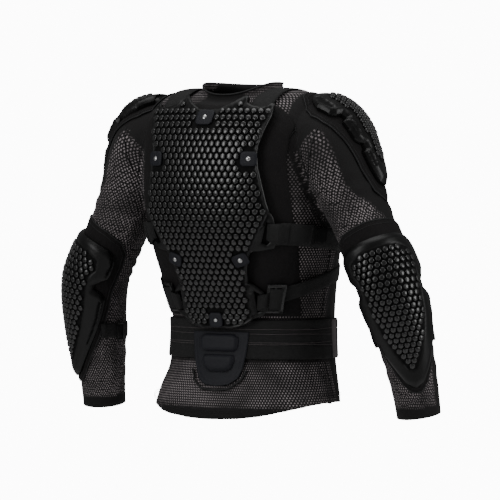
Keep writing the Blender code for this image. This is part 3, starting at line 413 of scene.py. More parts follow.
def outside_tree(with_sleeves):
    """Search tree of the finished outside, for seating the other pieces on it."""
    segments = 120
    rings = body_rings(0.0, segments, 4)
    points = [point for ring in rings for point in ring]
    faces = skin_faces(len(rings), segments)
    if with_sleeves:
        for side in (1.0, -1.0):
            first = len(points)
            arm = sleeve_rings(0.0, segments, 4)
            points += [Vector((side * p.x, p.y, p.z)) for ring in arm for p in ring]
            faces += skin_faces(len(arm), segments, first)
    return BVHTree.FromPolygons(points, faces)


def placer(hit, heart, step_u, step_w):
    """A function from plan position to surface point and outward normal."""
    def place(u, w):
        point = hit(u, w)
        along_u = hit(u + step_u, w) - hit(u - step_u, w)
        along_w = hit(u, w + step_w) - hit(u, w - step_w)
        normal = along_u.cross(along_w).normalized()
        if normal.dot(point - heart(u, w)) < 0:
            normal = -normal
        return point, normal
    return place


def from_behind(tree, facing):
    """Places for distance out and height, seen from the back or from the front."""
    def hit(x, share):
        start = Vector((x * HALF_WIDTH, FAR_OUT * HALF_DEPTH * facing, level(share)))
        found = tree.ray_cast(start, Vector((0.0, -facing, 0.0)))[0]
        return found

    def heart(x, share):
        return Vector((x * HALF_WIDTH * 0.5, 0.0, level(min(share, 0.85))))
    return placer(hit, heart, 0.02, 0.006)


def round_body(tree):
    """Places for the angle round the body from the left towards the back, and height share."""
    def hit(angle, share):
        turn = math.radians(angle)
        way = Vector((math.cos(turn), math.sin(turn), 0.0))
        centre = Vector((0.0, ROUND_MIDDLE * HALF_DEPTH, level(share)))
        return tree.ray_cast(centre + way * (FAR_OUT * HALF_WIDTH), -way)[0]

    def heart(angle, share):
        return Vector((0.0, ROUND_MIDDLE * HALF_DEPTH, level(share)))
    return placer(hit, heart, 1.5, 0.006)


def over_shoulder(tree):
    """Places for distance out and the angle from the back over the top to the front."""
    def hit(x, angle):
        turn = math.radians(angle)
        way = Vector((0.0, math.cos(turn), math.sin(turn)))
        centre = Vector((x * HALF_WIDTH, 0.0, level(TOP_MIDDLE)))
        return tree.ray_cast(centre + way * (FAR_OUT * HALF_DEPTH), -way)[0]

    def heart(x, angle):
        return Vector((x * HALF_WIDTH, 0.0, level(TOP_MIDDLE)))
    return placer(hit, heart, 0.015, 2.0)


def round_shoulder(tree):
    """Places for the angle down the arm and the angle front to back, for the left cap."""
    out, height = CAP_MIDDLE
    centre = arm_middle(out, 0.0, height)

    def hit(down, back):
        a = math.radians(down)
        b = math.radians(back)
        way = Vector((math.sin(a) * math.cos(b), math.sin(b), math.cos(a) * math.cos(b)))
        return tree.ray_cast(centre + way * (FAR_OUT * CAP_RADIUS), -way)[0]

    def heart(down, back):
        return centre
    return placer(hit, heart, 2.5, 2.5)


def round_arm():
    """Places for the angle round the left sleeve from its guard's middle, and height share."""
    table = np.array(smooth_rows(SLEEVE_ROWS, 6), dtype=float)[::-1]

    def section(share):
        return [float(np.interp(share, table[:, 2], table[:, column])) for column in range(6)]

    def hit(angle, share):
        out, back, height, tilt, across, deep = section(share)
        turn = math.radians(angle + GUARD_MIDDLE)
        lean = math.radians(tilt)
        middle = arm_middle(out, back, height)
        side = Vector((math.cos(lean), 0.0, math.sin(lean)))
        return (middle + side * (across * ARM_RADIUS * math.cos(turn))
                + Vector((0.0, deep * ARM_RADIUS * math.sin(turn), 0.0)))

    def heart(angle, share):
        out, back, height = section(share)[:3]
        return arm_middle(out, back, height)
    return placer(hit, heart, 3.0, 0.008)


def whole_outline(half):
    """Closed outline from the half with positive widths, anticlockwise or clockwise."""
    other = [(-u, w) for u, w in reversed(half) if u > 1e-6]
    return list(half) + other


def spaced(outline, spacing, scale, facing=1.0):
    """The outline with extra points so that no side is longer than the spacing in metres.

    Straight sides bow out by a hair, or in round a hole, so that no three points are in line.
    """
    result = []
    area = sum(a[0] * b[1] - b[0] * a[1] for a, b in zip(outline, outline[1:] + outline[:1]))
    facing = math.copysign(facing, facing * area)
    for index, start in enumerate(outline):
        end = outline[(index + 1) % len(outline)]
        along = ((end[0] - start[0]) * scale[0], (end[1] - start[1]) * scale[1])
        length = math.hypot(*along)
        parts = max(1, math.ceil(length / spacing))
        for step in range(parts):
            t = step / parts
            bow = facing * SIDE_BOW * t * (1 - t) / length
            result.append((start[0] + (end[0] - start[0]) * t + along[1] * bow / scale[0],
                           start[1] + (end[1] - start[1]) * t - along[0] * bow / scale[1]))
    return result


def edge_distance(points, outline):
    """Distance of each point to the outline's nearest side."""
    points = np.asarray(points, dtype=float)
    start = np.asarray(outline, dtype=float)
    side = np.roll(start, -1, axis=0) - start
    best = np.full(len(points), 1e9)
    for origin, along in zip(start, side):
        length = max(float(along @ along), 1e-18)
        t = np.clip(((points - origin) @ along) / length, 0.0, 1.0)
        away = points - (origin + t[:, None] * along)
        best = np.minimum(best, np.hypot(away[:, 0], away[:, 1]))
    return best


def inside(points, outline):
    """Whether each point lies inside the outline."""
    points = np.asarray(points, dtype=float)
    count = np.zeros(len(points), dtype=int)
    for index, (x0, y0) in enumerate(outline):
        x1, y1 = outline[(index + 1) % len(outline)]
        crosses = (y0 > points[:, 1]) != (y1 > points[:, 1])
        rise = (y1 - y0) if abs(y1 - y0) > 1e-15 else 1e-15
        x = x0 + (points[:, 1] - y0) * (x1 - x0) / rise
        count += crosses & (points[:, 0] < x)
    return count % 2 == 1


def lattice(outline, pitch, margin):
    """Points of a triangular lattice that lie inside the outline by the margin."""
    plan = np.asarray(outline)
    low = plan.min(axis=0)
    high = plan.max(axis=0)
    middle = (low + high) / 2
    row_step = pitch * math.sqrt(3) / 2
    rows = int((high[1] - low[1]) / row_step / 2) + 2
    columns = int((high[0] - low[0]) / pitch / 2) + 2
    points = [(middle[0] + (column + 0.5 * (row % 2)) * pitch, middle[1] + row * row_step)
              for row in range(-rows, rows + 1) for column in range(-columns, columns + 1)]
    keep = inside(points, outline) & (edge_distance(points, outline) > margin)
    return [point for point, kept in zip(points, keep) if kept]


def plan_triangles(loops, extra):
    """Triangles that fill the outer loop round the holes, through the extra points."""
    points = [point for loop in loops for point in loop] + list(extra)
    edges = []
    first = 0
    for loop in loops:
        edges += [(first + i, first + (i + 1) % len(loop)) for i in range(len(loop))]
        first += len(loop)
    out = delaunay_2d_cdt([Vector(point) for point in points], edges, [], 0, 1e-7)
    faces = [tuple(face) for face in out[2]]
    made = [tuple(point) for point in out[0]]
    centres = [tuple(np.mean([made[i] for i in face], axis=0)) for face in faces]
    keep = inside(centres, loops[0])
    for hole in loops[1:]:
        keep &= ~inside(centres, hole)
    chosen = []
    for face, kept in zip(faces, keep):
        if kept:
            a, b, c = (Vector(made[i]) for i in face)
            turn = (b.x - a.x) * (c.y - a.y) - (b.y - a.y) * (c.x - a.x)
            if abs(turn) > SLIVER_AREA:
                chosen.append(face if turn > 0 else tuple(reversed(face)))
    return made, chosen


def away_from(points, holes, ring, gap):
    """Those of the points that keep clear of the holes and of the bevel points."""
    if not points:
        return []
    keep = np.ones(len(points), dtype=bool)
    for hole in holes:
        keep &= ~inside(points, hole)
        keep &= edge_distance(points, hole) > gap
    if ring:
        near = np.array(ring)
        for index, point in enumerate(points):
            keep[index] &= np.min(np.hypot(*(near - np.array(point)).T)) > gap * 0.9
    return [point for point, kept in zip(points, keep) if kept]


def outward(points, faces):
    """The same body with its faces turned outward if they face in."""
    volume = 0.0
    for face in faces:
        a = points[face[0]]
        for i in range(1, len(face) - 1):
            volume += a.dot(points[face[i]].cross(points[face[i + 1]]))
    if volume < 0:
        faces = [tuple(reversed(face)) for face in faces]
    return points, faces


def flat(height):
    """The same height everywhere."""
    def heights(u, w, away):
        return height
    return heights


def domed(edge, top, bevel):
    """A height that rises from the edge over the bevel."""
    def heights(u, w, away):
        t = min(1.0, away / bevel)
        return edge + (top - edge) * math.sin(t * math.pi / 2)
    return heights


def tab_outline(tab, grow=0.0):
    """Outline of one tab, grown by a length in metres."""
    name, out, share, half_out, half_up, lean = tab
    turn = math.radians(lean)
    cut_in = 0.7
    corners = ((-1, -cut_in), (-cut_in, -1), (cut_in, -1), (1, -cut_in),
               (1, cut_in), (cut_in, 1), (-cut_in, 1), (-1, cut_in))
    result = []
    for x, y in corners:
        dx = x * (half_out * TAB_HALF_SIZE + grow)
        dy = y * (half_up * TAB_HALF_SIZE + grow)
        result.append((out + (dx * math.cos(turn) - dy * math.sin(turn)) / HALF_WIDTH,
                       share + (dx * math.sin(turn) + dy * math.cos(turn)) / JACKET_HEIGHT))
    return result


# Sizes of the dressed model in metres
VOXEL = 0.005
HEM_EXTRA = 0.03
STUD_RADIUS = 0.0056
GUARD_STUD_PITCH = 0.0108
GUARD_STUD_RADIUS = 0.0051
MESH_PITCH = 0.0054
SEAM_RADIUS = 0.0008


def add_object(name, points, faces, stuff, smooth=True):
    """One mesh object with a material, smooth or flat."""
    mesh = bpy.data.meshes.new(name)
    mesh.from_pydata([tuple(point) for point in points], [], [tuple(face) for face in faces])
    mesh.update()
    for poly in mesh.polygons:
        poly.use_smooth = smooth
    mesh.materials.append(stuff)
    obj = bpy.data.objects.new(name, mesh)
    bpy.context.scene.collection.objects.link(obj)
    return obj


def add_pair(base, points, faces, stuff, uvs=None, smooth=True):
    """The piece on the left and its mirror image on the right."""
    left = add_object(base + "_left", points, faces, stuff, smooth)
    flipped = [(-point[0], point[1], point[2]) for point in points]
    turned = [tuple(reversed(face)) for face in faces]
    right = add_object(base + "_right", flipped, turned, stuff, smooth)
    if uvs is not None:
        set_uvs(left, uvs)
        set_uvs(right, uvs)
    return left, right


def set_uvs(obj, uvs):
    """Texture places from one pair of values for each vertex."""
    layer = obj.data.uv_layers.new(name="plan")
    index = np.zeros(len(obj.data.loops), dtype=np.int32)
    obj.data.loops.foreach_get("vertex_index", index)
    layer.data.foreach_set("uv", np.asarray(uvs, dtype=np.float32)[index].ravel())


def sharp_by_angle(obj, degrees=35.0):
    """Smooth shading with hard edges where faces meet steeply."""
    obj.data.set_sharp_from_angle(angle=math.radians(degrees))


class Nodes:
    """Short way to add shader nodes and join them."""

    def __init__(self, name):
        self.stuff = bpy.data.materials.new(name)
        self.stuff.use_nodes = True
        self.tree = self.stuff.node_tree
        self.shader = self.tree.nodes["Principled BSDF"]

    def add(self, kind, **inputs):
        node = self.tree.nodes.new(kind)
        for key, value in inputs.items():
            target = node.inputs[int(key[1:])] if key[0] == "i" and key[1:].isdigit() else node.inputs[key]
            if isinstance(value, bpy.types.NodeSocket):
                self.tree.links.new(value, target)
            else:
                target.default_value = value
        return node

    def maths(self, operation, first, second=0.0, third=0.0):
        node = self.add("ShaderNodeMath", i0=first, i1=second, i2=third)
        node.operation = operation
        return node.outputs[0]

    def mix(self, share, first, second):
        node = self.tree.nodes.new("ShaderNodeMix")
        node.data_type = "RGBA"
        for socket, value in ((node.inputs[0], share), (node.inputs[6], first), (node.inputs[7], second)):
            if isinstance(value, bpy.types.NodeSocket):
                self.tree.links.new(value, socket)
            else:
                socket.default_value = value
        return node.outputs[2]

    def link(self, output, name):
        self.tree.links.new(output, self.shader.inputs[name])

    def bump(self, height, distance, strength=1.0):
        node = self.add("ShaderNodeBump", Height=height)
        node.inputs["Distance"].default_value = distance
        node.inputs["Strength"].default_value = strength
        self.link(node.outputs[0], "Normal")

    def finish(self, rough, sheen=0.0, coat=0.0, metallic=0.0, specular=0.5):
        self.shader.inputs["Roughness"].default_value = rough
        self.shader.inputs["Metallic"].default_value = metallic
        self.shader.inputs["Sheen Weight"].default_value = sheen
        self.shader.inputs["Coat Weight"].default_value = coat
        self.shader.inputs["Specular IOR Level"].default_value = specular
        return self.stuff


def grey(value, blue=1.0):
    """A neutral colour, bluer when blue is above one."""
    return (value, value, value * blue, 1.0)


def warm(value):
    """A slightly warm dark colour."""
    return (value * 1.10, value * 0.97, value, 1.0)


def dotted_cloth():
    """Stretch cloth whose open mesh shows as rows of lighter dots where the mask allows; the dots' light
    colour is painted light seen through the holes.
    """
    made = Nodes("mesh_cloth")
    plan = made.add("ShaderNodeUVMap")
    split = made.add("ShaderNodeSeparateXYZ", Vector=plan.outputs[0])
    across = made.maths("DIVIDE", split.outputs[0], MESH_PITCH)
    along = made.maths("DIVIDE", split.outputs[1], MESH_PITCH * 0.8)
    row = made.maths("FLOOR", along)
    odd = made.maths("MODULO", row, 2.0)
    shifted = made.maths("ADD", across, made.maths("MULTIPLY", made.maths("ABSOLUTE", odd), 0.5))
    x = made.maths("SUBTRACT", made.maths("FRACT", shifted), 0.5)
    y = made.maths("SUBTRACT", made.maths("FRACT", along), 0.5)
    away = made.maths("SQRT", made.maths("ADD", made.maths("MULTIPLY", x, x),
                                         made.maths("MULTIPLY", made.maths("MULTIPLY", y, y), 0.55)))
    dot = made.add("ShaderNodeMapRange", Value=away)
    dot.interpolation_type = "SMOOTHSTEP"
    dot.inputs["From Min"].default_value = 0.34
    dot.inputs["From Max"].default_value = 0.16
    mask = made.add("ShaderNodeAttribute")
    mask.attribute_name = "mesh_share"
    patchy = made.add("ShaderNodeTexNoise", Scale=9.0, Detail=3.0)
    seen_through_light = made.add("ShaderNodeMapRange", Value=patchy.outputs[0])
    seen_through_light.inputs["From Min"].default_value = 0.35
    seen_through_light.inputs["From Max"].default_value = 0.7
    seen_through_light.inputs["To Min"].default_value = 0.25
    seen_through_light.inputs["To Max"].default_value = 1.0
    share = made.maths("MULTIPLY", made.maths("MULTIPLY", dot.outputs[0], mask.outputs["Fac"]),
                       seen_through_light.outputs[0])
    # painted light: the dots are coloured far lighter than the cloth to stand in for light from behind seen
    # through the mesh holes, varied in patches by the noise
    made.link(made.mix(share, warm(0.0054), warm(0.36)), "Base Color")
    weave = made.add("ShaderNodeTexNoise", Scale=900.0, Detail=2.0)
    folds = made.add("ShaderNodeTexNoise", Scale=14.0, Detail=3.0, Roughness=0.5)
    height = made.maths("SUBTRACT", made.maths("MULTIPLY", weave.outputs[0], 0.12),
                        made.maths("MULTIPLY", made.maths("MULTIPLY", dot.outputs[0],
                                                          mask.outputs["Fac"]), 0.8))
    height = made.maths("ADD", height, made.maths("MULTIPLY", folds.outputs[0], 3.0))
    made.bump(height, 0.0009)
    return made.finish(0.78, sheen=0.03, specular=0.25)


def smooth_cloth():
    """Closely knitted padded cloth."""
    made = Nodes("smooth_cloth")
    fine = made.add("ShaderNodeTexNoise", Scale=1200.0, Detail=2.0)
    soft = made.add("ShaderNodeTexNoise", Scale=18.0, Detail=3.0)
    made.link(made.mix(soft.outputs[0], warm(0.0046), warm(0.0080)), "Base Color")
    made.bump(made.maths("ADD", made.maths("MULTIPLY", fine.outputs[0], 0.15),
                         made.maths("MULTIPLY", soft.outputs[0], 2.0)), 0.0008)
    return made.finish(0.75, sheen=0.02, specular=0.16)


def webbing():
    """Woven strap: fine ribs across and a small herringbone."""
    made = Nodes("webbing")
    plan = made.add("ShaderNodeUVMap")
    split = made.add("ShaderNodeSeparateXYZ", Vector=plan.outputs[0])
    ribs = made.maths("SINE", made.maths("MULTIPLY", split.outputs[0], 3800.0))
    warp = made.maths("SINE", made.maths("MULTIPLY", split.outputs[1], 2600.0))
    soft = made.add("ShaderNodeTexNoise", Scale=60.0, Detail=3.0)
    made.link(made.mix(soft.outputs[0], grey(0.0060), grey(0.0110)), "Base Color")
    made.bump(made.maths("ADD", made.maths("MULTIPLY", ribs, warp),
                         made.maths("MULTIPLY", soft.outputs[0], 1.2)), 0.00022)
    return made.finish(0.62, sheen=0.02, specular=0.26)


def plastic(name, tone, rough, coat=0.0, specular=0.5):
    """Moulded plastic with a faint grain, with painted shade darkening its recessed fields, which are also
    duller.
    """
    made = Nodes(name)
    recess_shade_mask = made.add("ShaderNodeAttribute")
    recess_shade_mask.attribute_name = "recess_shade_mask"
    grain = made.add("ShaderNodeTexNoise", Scale=500.0, Detail=2.0)
    cloud = made.add("ShaderNodeTexNoise", Scale=25.0, Detail=3.0)
    clear = made.mix(cloud.outputs[0], grey(tone * 0.8), grey(tone * 1.3))
    # painted shade: recessed fields are darkened to an eighth of the tone, standing in for shade between
    # studs and in the windows
    made.link(made.mix(recess_shade_mask.outputs["Fac"], clear, grey(tone * 0.12)), "Base Color")
    spread = made.add("ShaderNodeMapRange", Value=cloud.outputs[0])
    spread.inputs["To Min"].default_value = rough - 0.05
    spread.inputs["To Max"].default_value = rough + 0.06
    duller = made.maths("MULTIPLY", recess_shade_mask.outputs["Fac"], 0.55)
    made.link(made.maths("ADD", spread.outputs[0], duller), "Roughness")
    made.bump(grain.outputs[0], 0.00008)
    return made.finish(rough, coat=coat, specular=specular)


def rubber(name, colour, rough):
    """Matt rubber or coated cloth."""
    made = Nodes(name)
    fine = made.add("ShaderNodeTexNoise", Scale=900.0, Detail=2.0)
    cloud = made.add("ShaderNodeTexNoise", Scale=30.0, Detail=2.0)
    darker = tuple(part * 0.8 for part in colour[:3]) + (1.0,)
    made.link(made.mix(cloud.outputs[0], darker, colour), "Base Color")
    made.bump(fine.outputs[0], 0.0002)
    return made.finish(rough, specular=0.35)


def metal():
    """Satin silver rivet heads."""
    made = Nodes("rivet_metal")
    grain = made.add("ShaderNodeTexNoise", Scale=300.0, Detail=2.0)
    made.link(made.mix(grain.outputs[0], grey(0.45), grey(0.62)), "Base Color")
    made.bump(grain.outputs[0], 0.00005)
    return made.finish(0.32, metallic=1.0)


def extended(rings, first, last):
    """Rings with one more at each end, pushed out along the tube by the given lengths."""
    def pushed(ring, beyond, length):
        middle = sum(ring, Vector()) / len(ring)
        inner = sum(beyond, Vector()) / len(beyond)
        way = (middle - inner).normalized() * length
        return [point + way for point in ring]
    low = [pushed(rings[0], rings[1], first)] if first else []
    high = [pushed(rings[-1], rings[-2], last)] if last else []
    return low + rings + high


def arm_line():
    """Middle points of the left sleeve's sections with their radii, closely spaced."""
    rows = smooth_rows(SLEEVE_ROWS, 12)
    middles = np.array([tuple(arm_middle(r[0], r[1], r[2])) for r in rows])
    sides = np.array([(math.cos(math.radians(r[3])), 0.0, math.sin(math.radians(r[3]))) for r in rows])
    sizes = np.array([((r[4] + r[5]) / 2 * ARM_RADIUS) for r in rows])
    return middles, sides, sizes


def cloth_points():
    """Closed rough skin of body and sleeves in one, as vertices and faces of a voxel surface."""
    segments = 96
    body = body_rings(0.0, segments, 4)
    neck = [Vector((p.x * 0.985, p.y * 0.985, p.z + COLLAR_BAND + 0.012)) for p in body[-1]]
    low = [Vector((p.x * 1.01, p.y * 1.01, p.z - HEM_EXTRA)) for p in body[0]]
    points, faces = plug([low] + body + [neck], True)
    points = list(points)
    faces = list(faces)
    arm = extended(sleeve_rings(0.0, 64, 4), 0.0, 0.02)
    arm_points, arm_faces = plug(arm, False)
    for side in (1.0, -1.0):
        first = len(points)
        points += [Vector((side * p.x, p.y, p.z)) for p in arm_points]
        moved = [tuple(i + first for i in face) for face in arm_faces]
        faces += moved if side > 0 else [tuple(reversed(face)) for face in moved]
    rough = add_object("rough_skin", points, faces, bpy.data.materials.new("rough"))
    change = rough.modifiers.new("join", "REMESH")
    change.mode = "VOXEL"
    change.voxel_size = VOXEL
    bpy.context.view_layer.update()
    made = bpy.data.meshes.new_from_object(rough.evaluated_get(bpy.context.evaluated_depsgraph_get()))
    bpy.data.objects.remove(rough, do_unlink=True)
    spots = np.zeros(len(made.vertices) * 3)
    made.vertices.foreach_get("co", spots)
    spots = spots.reshape(-1, 3)
    loops = np.zeros(len(made.loops), dtype=np.int64)
    made.loops.foreach_get("vertex_index", loops)
    sizes = np.zeros(len(made.polygons), dtype=np.int64)
    made.polygons.foreach_get("loop_total", sizes)
    cells = []
    at = 0
    for size in sizes:
        cells.append(loops[at:at + size])
        at += size
    return spots, cells


def relaxed(spots, cells, rounds):
    """The surface with its vertices moved towards the middle of their neighbours."""
    pairs = set()
    for cell in cells:
        for i in range(len(cell)):
            a = int(cell[i])
            b = int(cell[(i + 1) % len(cell)])
            pairs.add((min(a, b), max(a, b)))
    links = np.array(sorted(pairs))
    count = np.bincount(links.ravel(), minlength=len(spots))[:, None]
    for turn in range(rounds):
        for share in (0.6, -0.62):
            total = np.zeros_like(spots)
            np.add.at(total, links[:, 0], spots[links[:, 1]])
            np.add.at(total, links[:, 1], spots[links[:, 0]])
            spots = spots + (total / np.maximum(count, 1) - spots) * share
    return spots


def hem_height(spots):
    """Height of the hem under each point."""
    ring = np.array([tuple(p) for p in body_rings(0.0, 96, 4)[0]])
    angle = np.arctan2(ring[:, 1] + 0.012, ring[:, 0])
    order = np.argsort(angle)
    turn = np.arctan2(spots[:, 1] + 0.012, spots[:, 0])
    return np.interp(turn, angle[order], ring[order, 2], period=2 * math.pi)


def neck_height(spots):
    """Height of the collar's edge over each point."""
    ring = np.array([tuple(p) for p in body_rings(0.0, 96, 4)[-1]])
    angle = np.arctan2(ring[:, 1], ring[:, 0])
    order = np.argsort(angle)
    turn = np.arctan2(spots[:, 1], spots[:, 0])
    return np.interp(turn, angle[order], ring[order, 2], period=2 * math.pi) + COLLAR_BAND


def arm_places(spots):
    """For each point: distance along the sleeve, angle round it and distance to it over its radius."""
    middles, sides, sizes = arm_line()
    flipped = spots.copy()
    flipped[:, 0] = np.abs(flipped[:, 0])
    steps = np.linalg.norm(np.diff(middles, axis=0), axis=1)
    length = np.concatenate([[0.0], np.cumsum(steps)])
    best = np.full(len(spots), 1e9)
    which = np.zeros(len(spots), dtype=int)
    for index in range(len(middles)):
        away = np.linalg.norm(flipped - middles[index], axis=1)
        better = away < best
        best[better] = away[better]
        which[better] = index
    offset = flipped - middles[which]
    turn = np.arctan2(offset[:, 1], np.einsum("ij,ij->i", offset, sides[which]))
    return length[which], turn, best / sizes[which], length[-1]


def wrinkles(spots, along, on_arm, turn):
    """Outward push of the soft folds at elbow, cuff, armpit and hem."""
    height = spots[:, 2] + JACKET_HEIGHT
    push = np.zeros(len(spots))
    inner = np.exp(-((turn - math.radians(215)) % (2 * math.pi)) ** 2 / 1.2)
    elbow = np.exp(-((along - 0.285) / 0.045) ** 2)
    fold = np.sin(along * 2 * math.pi / 0.021 + 1.4 * np.sin(turn * 1.3))
    push += on_arm * elbow * (0.35 + 0.65 * np.clip(-np.cos(turn - 0.9), 0, 1)) * fold * 0.0016
    cuff = np.exp(-((along - 0.47) / 0.05) ** 2)
    push += on_arm * cuff * np.sin(along * 2 * math.pi / 0.034 + 2.0 * turn) * 0.0008
    armpit = np.exp(-((height - 0.40) / 0.045) ** 2) * np.clip((np.abs(spots[:, 0]) - 0.13) / 0.04, 0, 1)
    push += armpit * np.sin(height * 2 * math.pi / 0.030 + spots[:, 1] * 60) * 0.0012
    hem = np.clip((0.10 - height) / 0.10, 0, 1) * (1 - on_arm)
    around = np.arctan2(spots[:, 1] + 0.02, spots[:, 0])
    push += hem * (np.sin(around * 9 + 0.7) + 0.5 * np.sin(around * 17)) * 0.0014
    return push + 0 * inner


def surface_normals(spots, cells):
    """Outward direction at each vertex."""
    total = np.zeros_like(spots)
    quads = np.array([cell for cell in cells if len(cell) == 4])
    tris = np.array([cell for cell in cells if len(cell) == 3])
    for group, ends in ((quads, (0, 1, 2, 3)), (tris, (0, 1, 2, 2))):
        if len(group) == 0:
            continue
        a, b, c, d = (spots[group[:, k]] for k in ends)
        way = np.cross(c - a, d - b) if group is quads else np.cross(b - a, c - a)
        for k in range(group.shape[1]):
            np.add.at(total, group[:, k], way)
    return total / np.maximum(np.linalg.norm(total, axis=1), 1e-12)[:, None]


def make_garment(stuff):
    """Cloth body, sleeves and collar in one soft skin with a wall."""
    spots, cells = cloth_points()
    spots = relaxed(spots, cells, 10)
    along, turn, ratio, arm_length = arm_places(spots)
    on_arm = ((ratio < 1.22) & (along > 0.055)).astype(float)
    push = wrinkles(spots, along, on_arm, turn)
    spots = spots + surface_normals(spots, cells) * push[:, None]
    low = hem_height(spots)
    high = neck_height(spots)
    near_neck = (np.hypot(spots[:, 0] / 0.085, spots[:, 1] / 0.080) < 1.0) & (spots[:, 2] > -0.06)
    body = on_arm < 0.5
    out = (body & (spots[:, 2] < low)) | (near_neck & (spots[:, 2] > high))
    middles, sides, sizes = arm_line()
    end = middles[-1]
    way = (middles[-1] - middles[-8])
    way = way / np.linalg.norm(way)
    mirrored = spots.copy()
    mirrored[:, 0] = np.abs(mirrored[:, 0])
    past = (mirrored - end) @ way
    arm_end = (along > 0.3) & (ratio < 1.4)
    out |= arm_end & (past > 0.0)
    kept = [cell for cell in cells if not out[cell].any()]
    edge_use = {}
    for cell in kept:
        for i in range(len(cell)):
            a = int(cell[i])
            b = int(cell[(i + 1) % len(cell)])
            key = (min(a, b), max(a, b))
            edge_use[key] = edge_use.get(key, 0) + 1
    rim = np.array(sorted({v for key, used in edge_use.items() if used == 1 for v in key}))
    for v in rim:
        if arm_end[v] and abs(past[v]) < 0.02:
            shift = way * -past[v]
            spots[v] += np.array([shift[0] * np.sign(spots[v, 0]), shift[1], shift[2]])
        elif near_neck[v]:
            spots[v, 2] = high[v]
        else:
            spots[v, 2] = low[v]
    used = np.unique(np.concatenate([np.asarray(cell) for cell in kept]))
    number = np.full(len(spots), -1)
    number[used] = np.arange(len(used))
    faces = [tuple(int(number[v]) for v in cell) for cell in kept]
    points = spots[used]
    garment = add_object("cloth_jacket", points, faces, stuff)
    around = np.arctan2(points[:, 1] + 0.012, points[:, 0])
    layer = garment.data.uv_layers.new(name="plan")
    loops = np.zeros(len(garment.data.loops), dtype=np.int64)
    garment.data.loops.foreach_get("vertex_index", loops)
    starts = np.zeros(len(garment.data.polygons), dtype=np.int64)
    totals = np.zeros(len(garment.data.polygons), dtype=np.int64)
    garment.data.polygons.foreach_get("loop_start", starts)
    garment.data.polygons.foreach_get("loop_total", totals)
    head = np.repeat(loops[starts], totals)
    sleeve = on_arm[used][head] > 0.5
    across = np.where(sleeve, turn[used][loops] * 0.052, around[loops] * 0.155)
    base = np.where(sleeve, turn[used][head] * 0.052, around[head] * 0.155)
    lap = np.where(sleeve, 2 * math.pi * 0.052, 2 * math.pi * 0.155)
    across = across - np.round((across - base) / lap) * lap
    height = np.where(sleeve, along[used][loops], points[loops, 2])
    layer.data.foreach_set("uv", np.stack([across, height], axis=1).astype(np.float32).ravel())
    share = mesh_share(points, along[used], turn[used], on_arm[used])
    near = ratio[used]
    at_armhole = np.where(on_arm[used] > 0.5, soft_step(near, 1.12, 1.18), 1 - soft_step(near, 1.23, 1.28))
    at_armhole *= (along[used] > -0.02) & (along[used] < 0.30)
    share = share * (1 - at_armhole)
    attribute = garment.data.attributes.new("mesh_share", "FLOAT", "POINT")
    attribute.data.foreach_set("value", share.astype(np.float32))
    wall = garment.modifiers.new("wall", "SOLIDIFY")
    wall.thickness = CLOTH
    wall.offset = -1.0
    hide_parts("torso", "sleeve_left", "sleeve_right", "collar")
    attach(garment, "root")
    return garment


def soft_step(value, low, high):
    """Zero below low, one above high and smooth between."""
    t = np.clip((value - low) / (high - low), 0.0, 1.0)
    return t * t * (3 - 2 * t)


def mesh_share(points, along, turn, on_arm):
    """How clearly the open mesh shows at each point, with its dots of painted light."""
    angle = np.degrees(np.arctan2(points[:, 1] + 0.012, np.abs(points[:, 0])))
    height = (points[:, 2] + JACKET_HEIGHT) / JACKET_HEIGHT
    side = soft_step(angle, -8.0, -6.0) * (1 - soft_step(angle, 58.0, 60.0))
    hip = (1 - soft_step(height, 0.17, 0.175)) * soft_step(height, 0.035, 0.04)
    hip = hip * (1 - soft_step(np.abs(angle + 2.0), 150.0, 152.0))
    hip *= 1 - (soft_step(angle, -30.0, -28.0) * (1 - soft_step(angle, -12.0, -10.0)))
    body = np.maximum(side * soft_step(height, 0.30, 0.31), hip)
    round_arm_angle = np.degrees(turn) % 360.0
    edge = 62.0 - 60.0 * soft_step(along, 0.14, 0.25)
    arm = soft_step(round_arm_angle, edge, edge + 4.0) * (1 - soft_step(round_arm_angle, 292.0, 296.0))
    arm *= 1 - soft_step(along, 0.548, 0.552)
    return np.where(on_arm > 0.5, arm, body)


